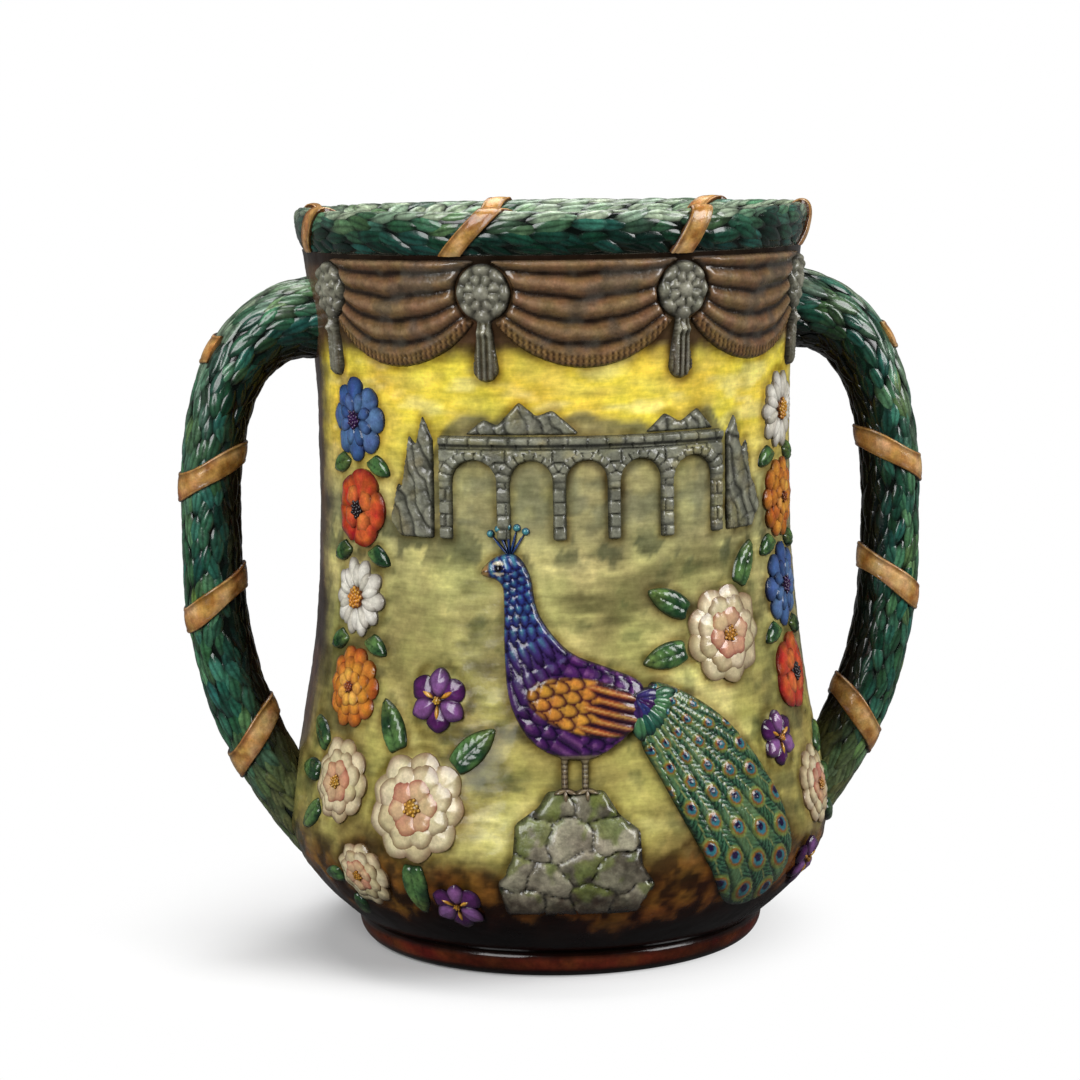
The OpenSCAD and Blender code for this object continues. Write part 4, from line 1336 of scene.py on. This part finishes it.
# Each piece of relief: its name, its slot, its node and how it is laid
RELIEF = (
    ("drapery_frieze", "brown_glaze", "frieze_swags", pads, sculpt_swag, 0.9),
    ("grey_rosettes", "grey_glaze", "frieze_rosettes", pads, sculpt_rosette, 0.6),
    ("arched_bridge", "grey_glaze", "stone_bridge", pads, sculpt_bridge, 0.6, 0),
    ("grey_crags", "grey_glaze", "crags", pads, sculpt_crag, 0.7),
    ("mossy_rock", "grey_glaze", "perch_rock", pads, sculpt_rock, 0.8, ROCK_ANGLE),
    ("violet_bird", "purple_glaze", "peacock_body", pads, sculpt_bird, 0.6, BIRD_ANGLE, dress_bird),
    ("eyed_train", "leaf_green_glaze", "peacock_train", pads, sculpt_train, 0.6, TRAIN_ANGLE),
    ("cream_peonies", "cream_glaze", "peonies", blooms, peony),
    ("violet_irises", "purple_glaze", "irises", blooms, iris),
    ("blue_cornflowers", "blue_glaze", "blue_blooms", blooms, cornflower),
    ("red_poppies", "red_glaze", "red_blooms", blooms, poppy),
    ("white_daisies", "white_glaze", "white_blooms", blooms, daisy),
    ("orange_marigolds", "orange_glaze", "orange_blooms", blooms, marigold),
    ("garden_leaves", "leaf_green_glaze", "peony_leaves", pads, sculpt_leaf, 0.7),
    ("garland_leaves", "leaf_green_glaze", "festoon_leaves", pads, sculpt_leaf, 0.7),
)

make_body()
make_foot()
make_rim()
for make in (make_handle, make_handle_ribbons):
    make(1, "right")
    make(-1, "left")
make_rim_ribbons()
for name, slot, node, lay, *how in RELIEF:
    lay(node, *how).piece(name, slot)


# Studio: a pale floor, soft boxes and the photograph's camera
# The sizes and places of the floor and the lamps are in metres

CUP_MIDDLE = (0, 0, 0.13)
FLOOR_R = 0.3
FLOOR_SIDES = 96

# Shift of the floor's fade to white, and the distances from its middle where it starts and ends
FADE_SHIFT = (0.04, -0.02, 0)
FADE_START = 0.06
FADE_END = 0.15

# Tones of the floor to the camera and to the glaze, and levels of the room in front and of the backdrop
FLOOR_SEEN = 0.85
FLOOR_MIRRORED = 0.12
ROOM_LEVEL = 0.05
BACKDROP_LEVEL = 0.14

IMAGE_PIXELS = 1080
FOCAL_PIXELS = 3053
SENSOR_W = 36
CAMERA_AT = (-5.5, -1065, 281.4)
CAMERA_TURN = radians(-7)
CAMERA_TILT = radians(7.6)
CAMERA_ROLL = radians(0.8)


def make_floor():
    """A round pale floor that takes the shadow near the cup and goes over into plain white farther off.

    It is darker to all but the camera, so that the dark glaze at the base isn't veiled by its reflection.
    """
    mesh = bpy.data.meshes.new("pale_floor")
    turns = tau * np.arange(FLOOR_SIDES) / FLOOR_SIDES
    rim = np.stack([FLOOR_R * np.cos(turns), FLOOR_R * np.sin(turns), 0 * turns], -1)
    mesh.from_pydata(rim.tolist(), [], [list(range(FLOOR_SIDES))])
    floor = put("pale_floor", mesh)
    material = bpy.data.materials.new("pale_floor")
    mesh.materials.append(material)
    nodes = Nodes(material)
    camera_ray = nodes.add("LightPath", "Is Camera Ray", {})
    where = nodes.add("TexCoord", "Object", {})
    place = nodes.add("Mapping", "Vector", {"Vector": where, "Location": FADE_SHIFT})
    far = nodes.add("VectorMath", "Value", {0: place}, operation="LENGTH")
    fade = nodes.mapped(far, (FADE_START, FADE_END), (0, 1), interpolation_type="SMOOTHSTEP")
    tone = nodes.mapped(camera_ray, (0, 1), (FLOOR_MIRRORED, FLOOR_SEEN))
    pale = nodes.tree.nodes["Principled BSDF"]
    nodes.fill(pale, {"Base Color": tone, "Roughness": 0.9, "Specular IOR Level": 0})
    white = nodes.add("Emission", "Emission", {})
    both = {0: nodes.times(fade, camera_ray), 1: pale.outputs["BSDF"], 2: white}
    nodes.fill(nodes.tree.nodes["Material Output"], {"Surface": nodes.add("MixShader", "Shader", both)})


def make_world():
    """A dim room in front of the cup and a pale backdrop behind it, white where the camera sees it."""
    world = bpy.data.worlds.new("studio")
    bpy.context.scene.world = world
    nodes = Nodes(world)
    depth = nodes.add("SeparateXYZ", "Y", {"Vector": nodes.add("TexCoord", "Generated", {})})
    camera_ray = nodes.add("LightPath", "Is Camera Ray", {})
    room = nodes.mapped(depth, (-0.5, 0.5), (ROOM_LEVEL, BACKDROP_LEVEL), interpolation_type="SMOOTHSTEP")
    level = nodes.mapped(camera_ray, (0, 1), (room, 1))
    nodes.fill(nodes.tree.nodes["Background"], {"Color": (1, 1, 1, 1), "Strength": level})


def soft_box(name, place, target, width, height, power):
    data = bpy.data.lights.new(name, "AREA")
    data.shape = "RECTANGLE"
    data.size = width
    data.size_y = height
    data.energy = power
    lamp = put(name, data)
    lamp.location = place
    lamp.rotation_euler = (Vector(target) - Vector(place)).to_track_quat("-Z", "Y").to_euler()


def make_camera():
    data = bpy.data.cameras.new("camera")
    data.sensor_width = SENSOR_W
    data.lens = SENSOR_W * FOCAL_PIXELS / IMAGE_PIXELS
    camera = put("camera", data)
    look = Matrix.Rotation(radians(90) - CAMERA_TILT, 4, "X") @ Matrix.Rotation(-CAMERA_ROLL, 4, "Z")
    stand = Matrix.Translation(Vector(CAMERA_AT) * MM)
    camera.matrix_world = Matrix.Rotation(CAMERA_TURN, 4, "Z") @ stand @ look
    bpy.context.scene.camera = camera


make_floor()
make_world()
soft_box("key", (-0.95, -1.05, 0.8), CUP_MIDDLE, 0.7, 1.2, 23)
soft_box("fill", (1.1, -0.7, 0.7), CUP_MIDDLE, 0.6, 0.8, 16)
soft_box("top", (0, 0.2, 1.4), (0, 0, 0.1), 1, 1, 17)
make_camera()
bpy.context.scene.view_settings.view_transform = "Standard"
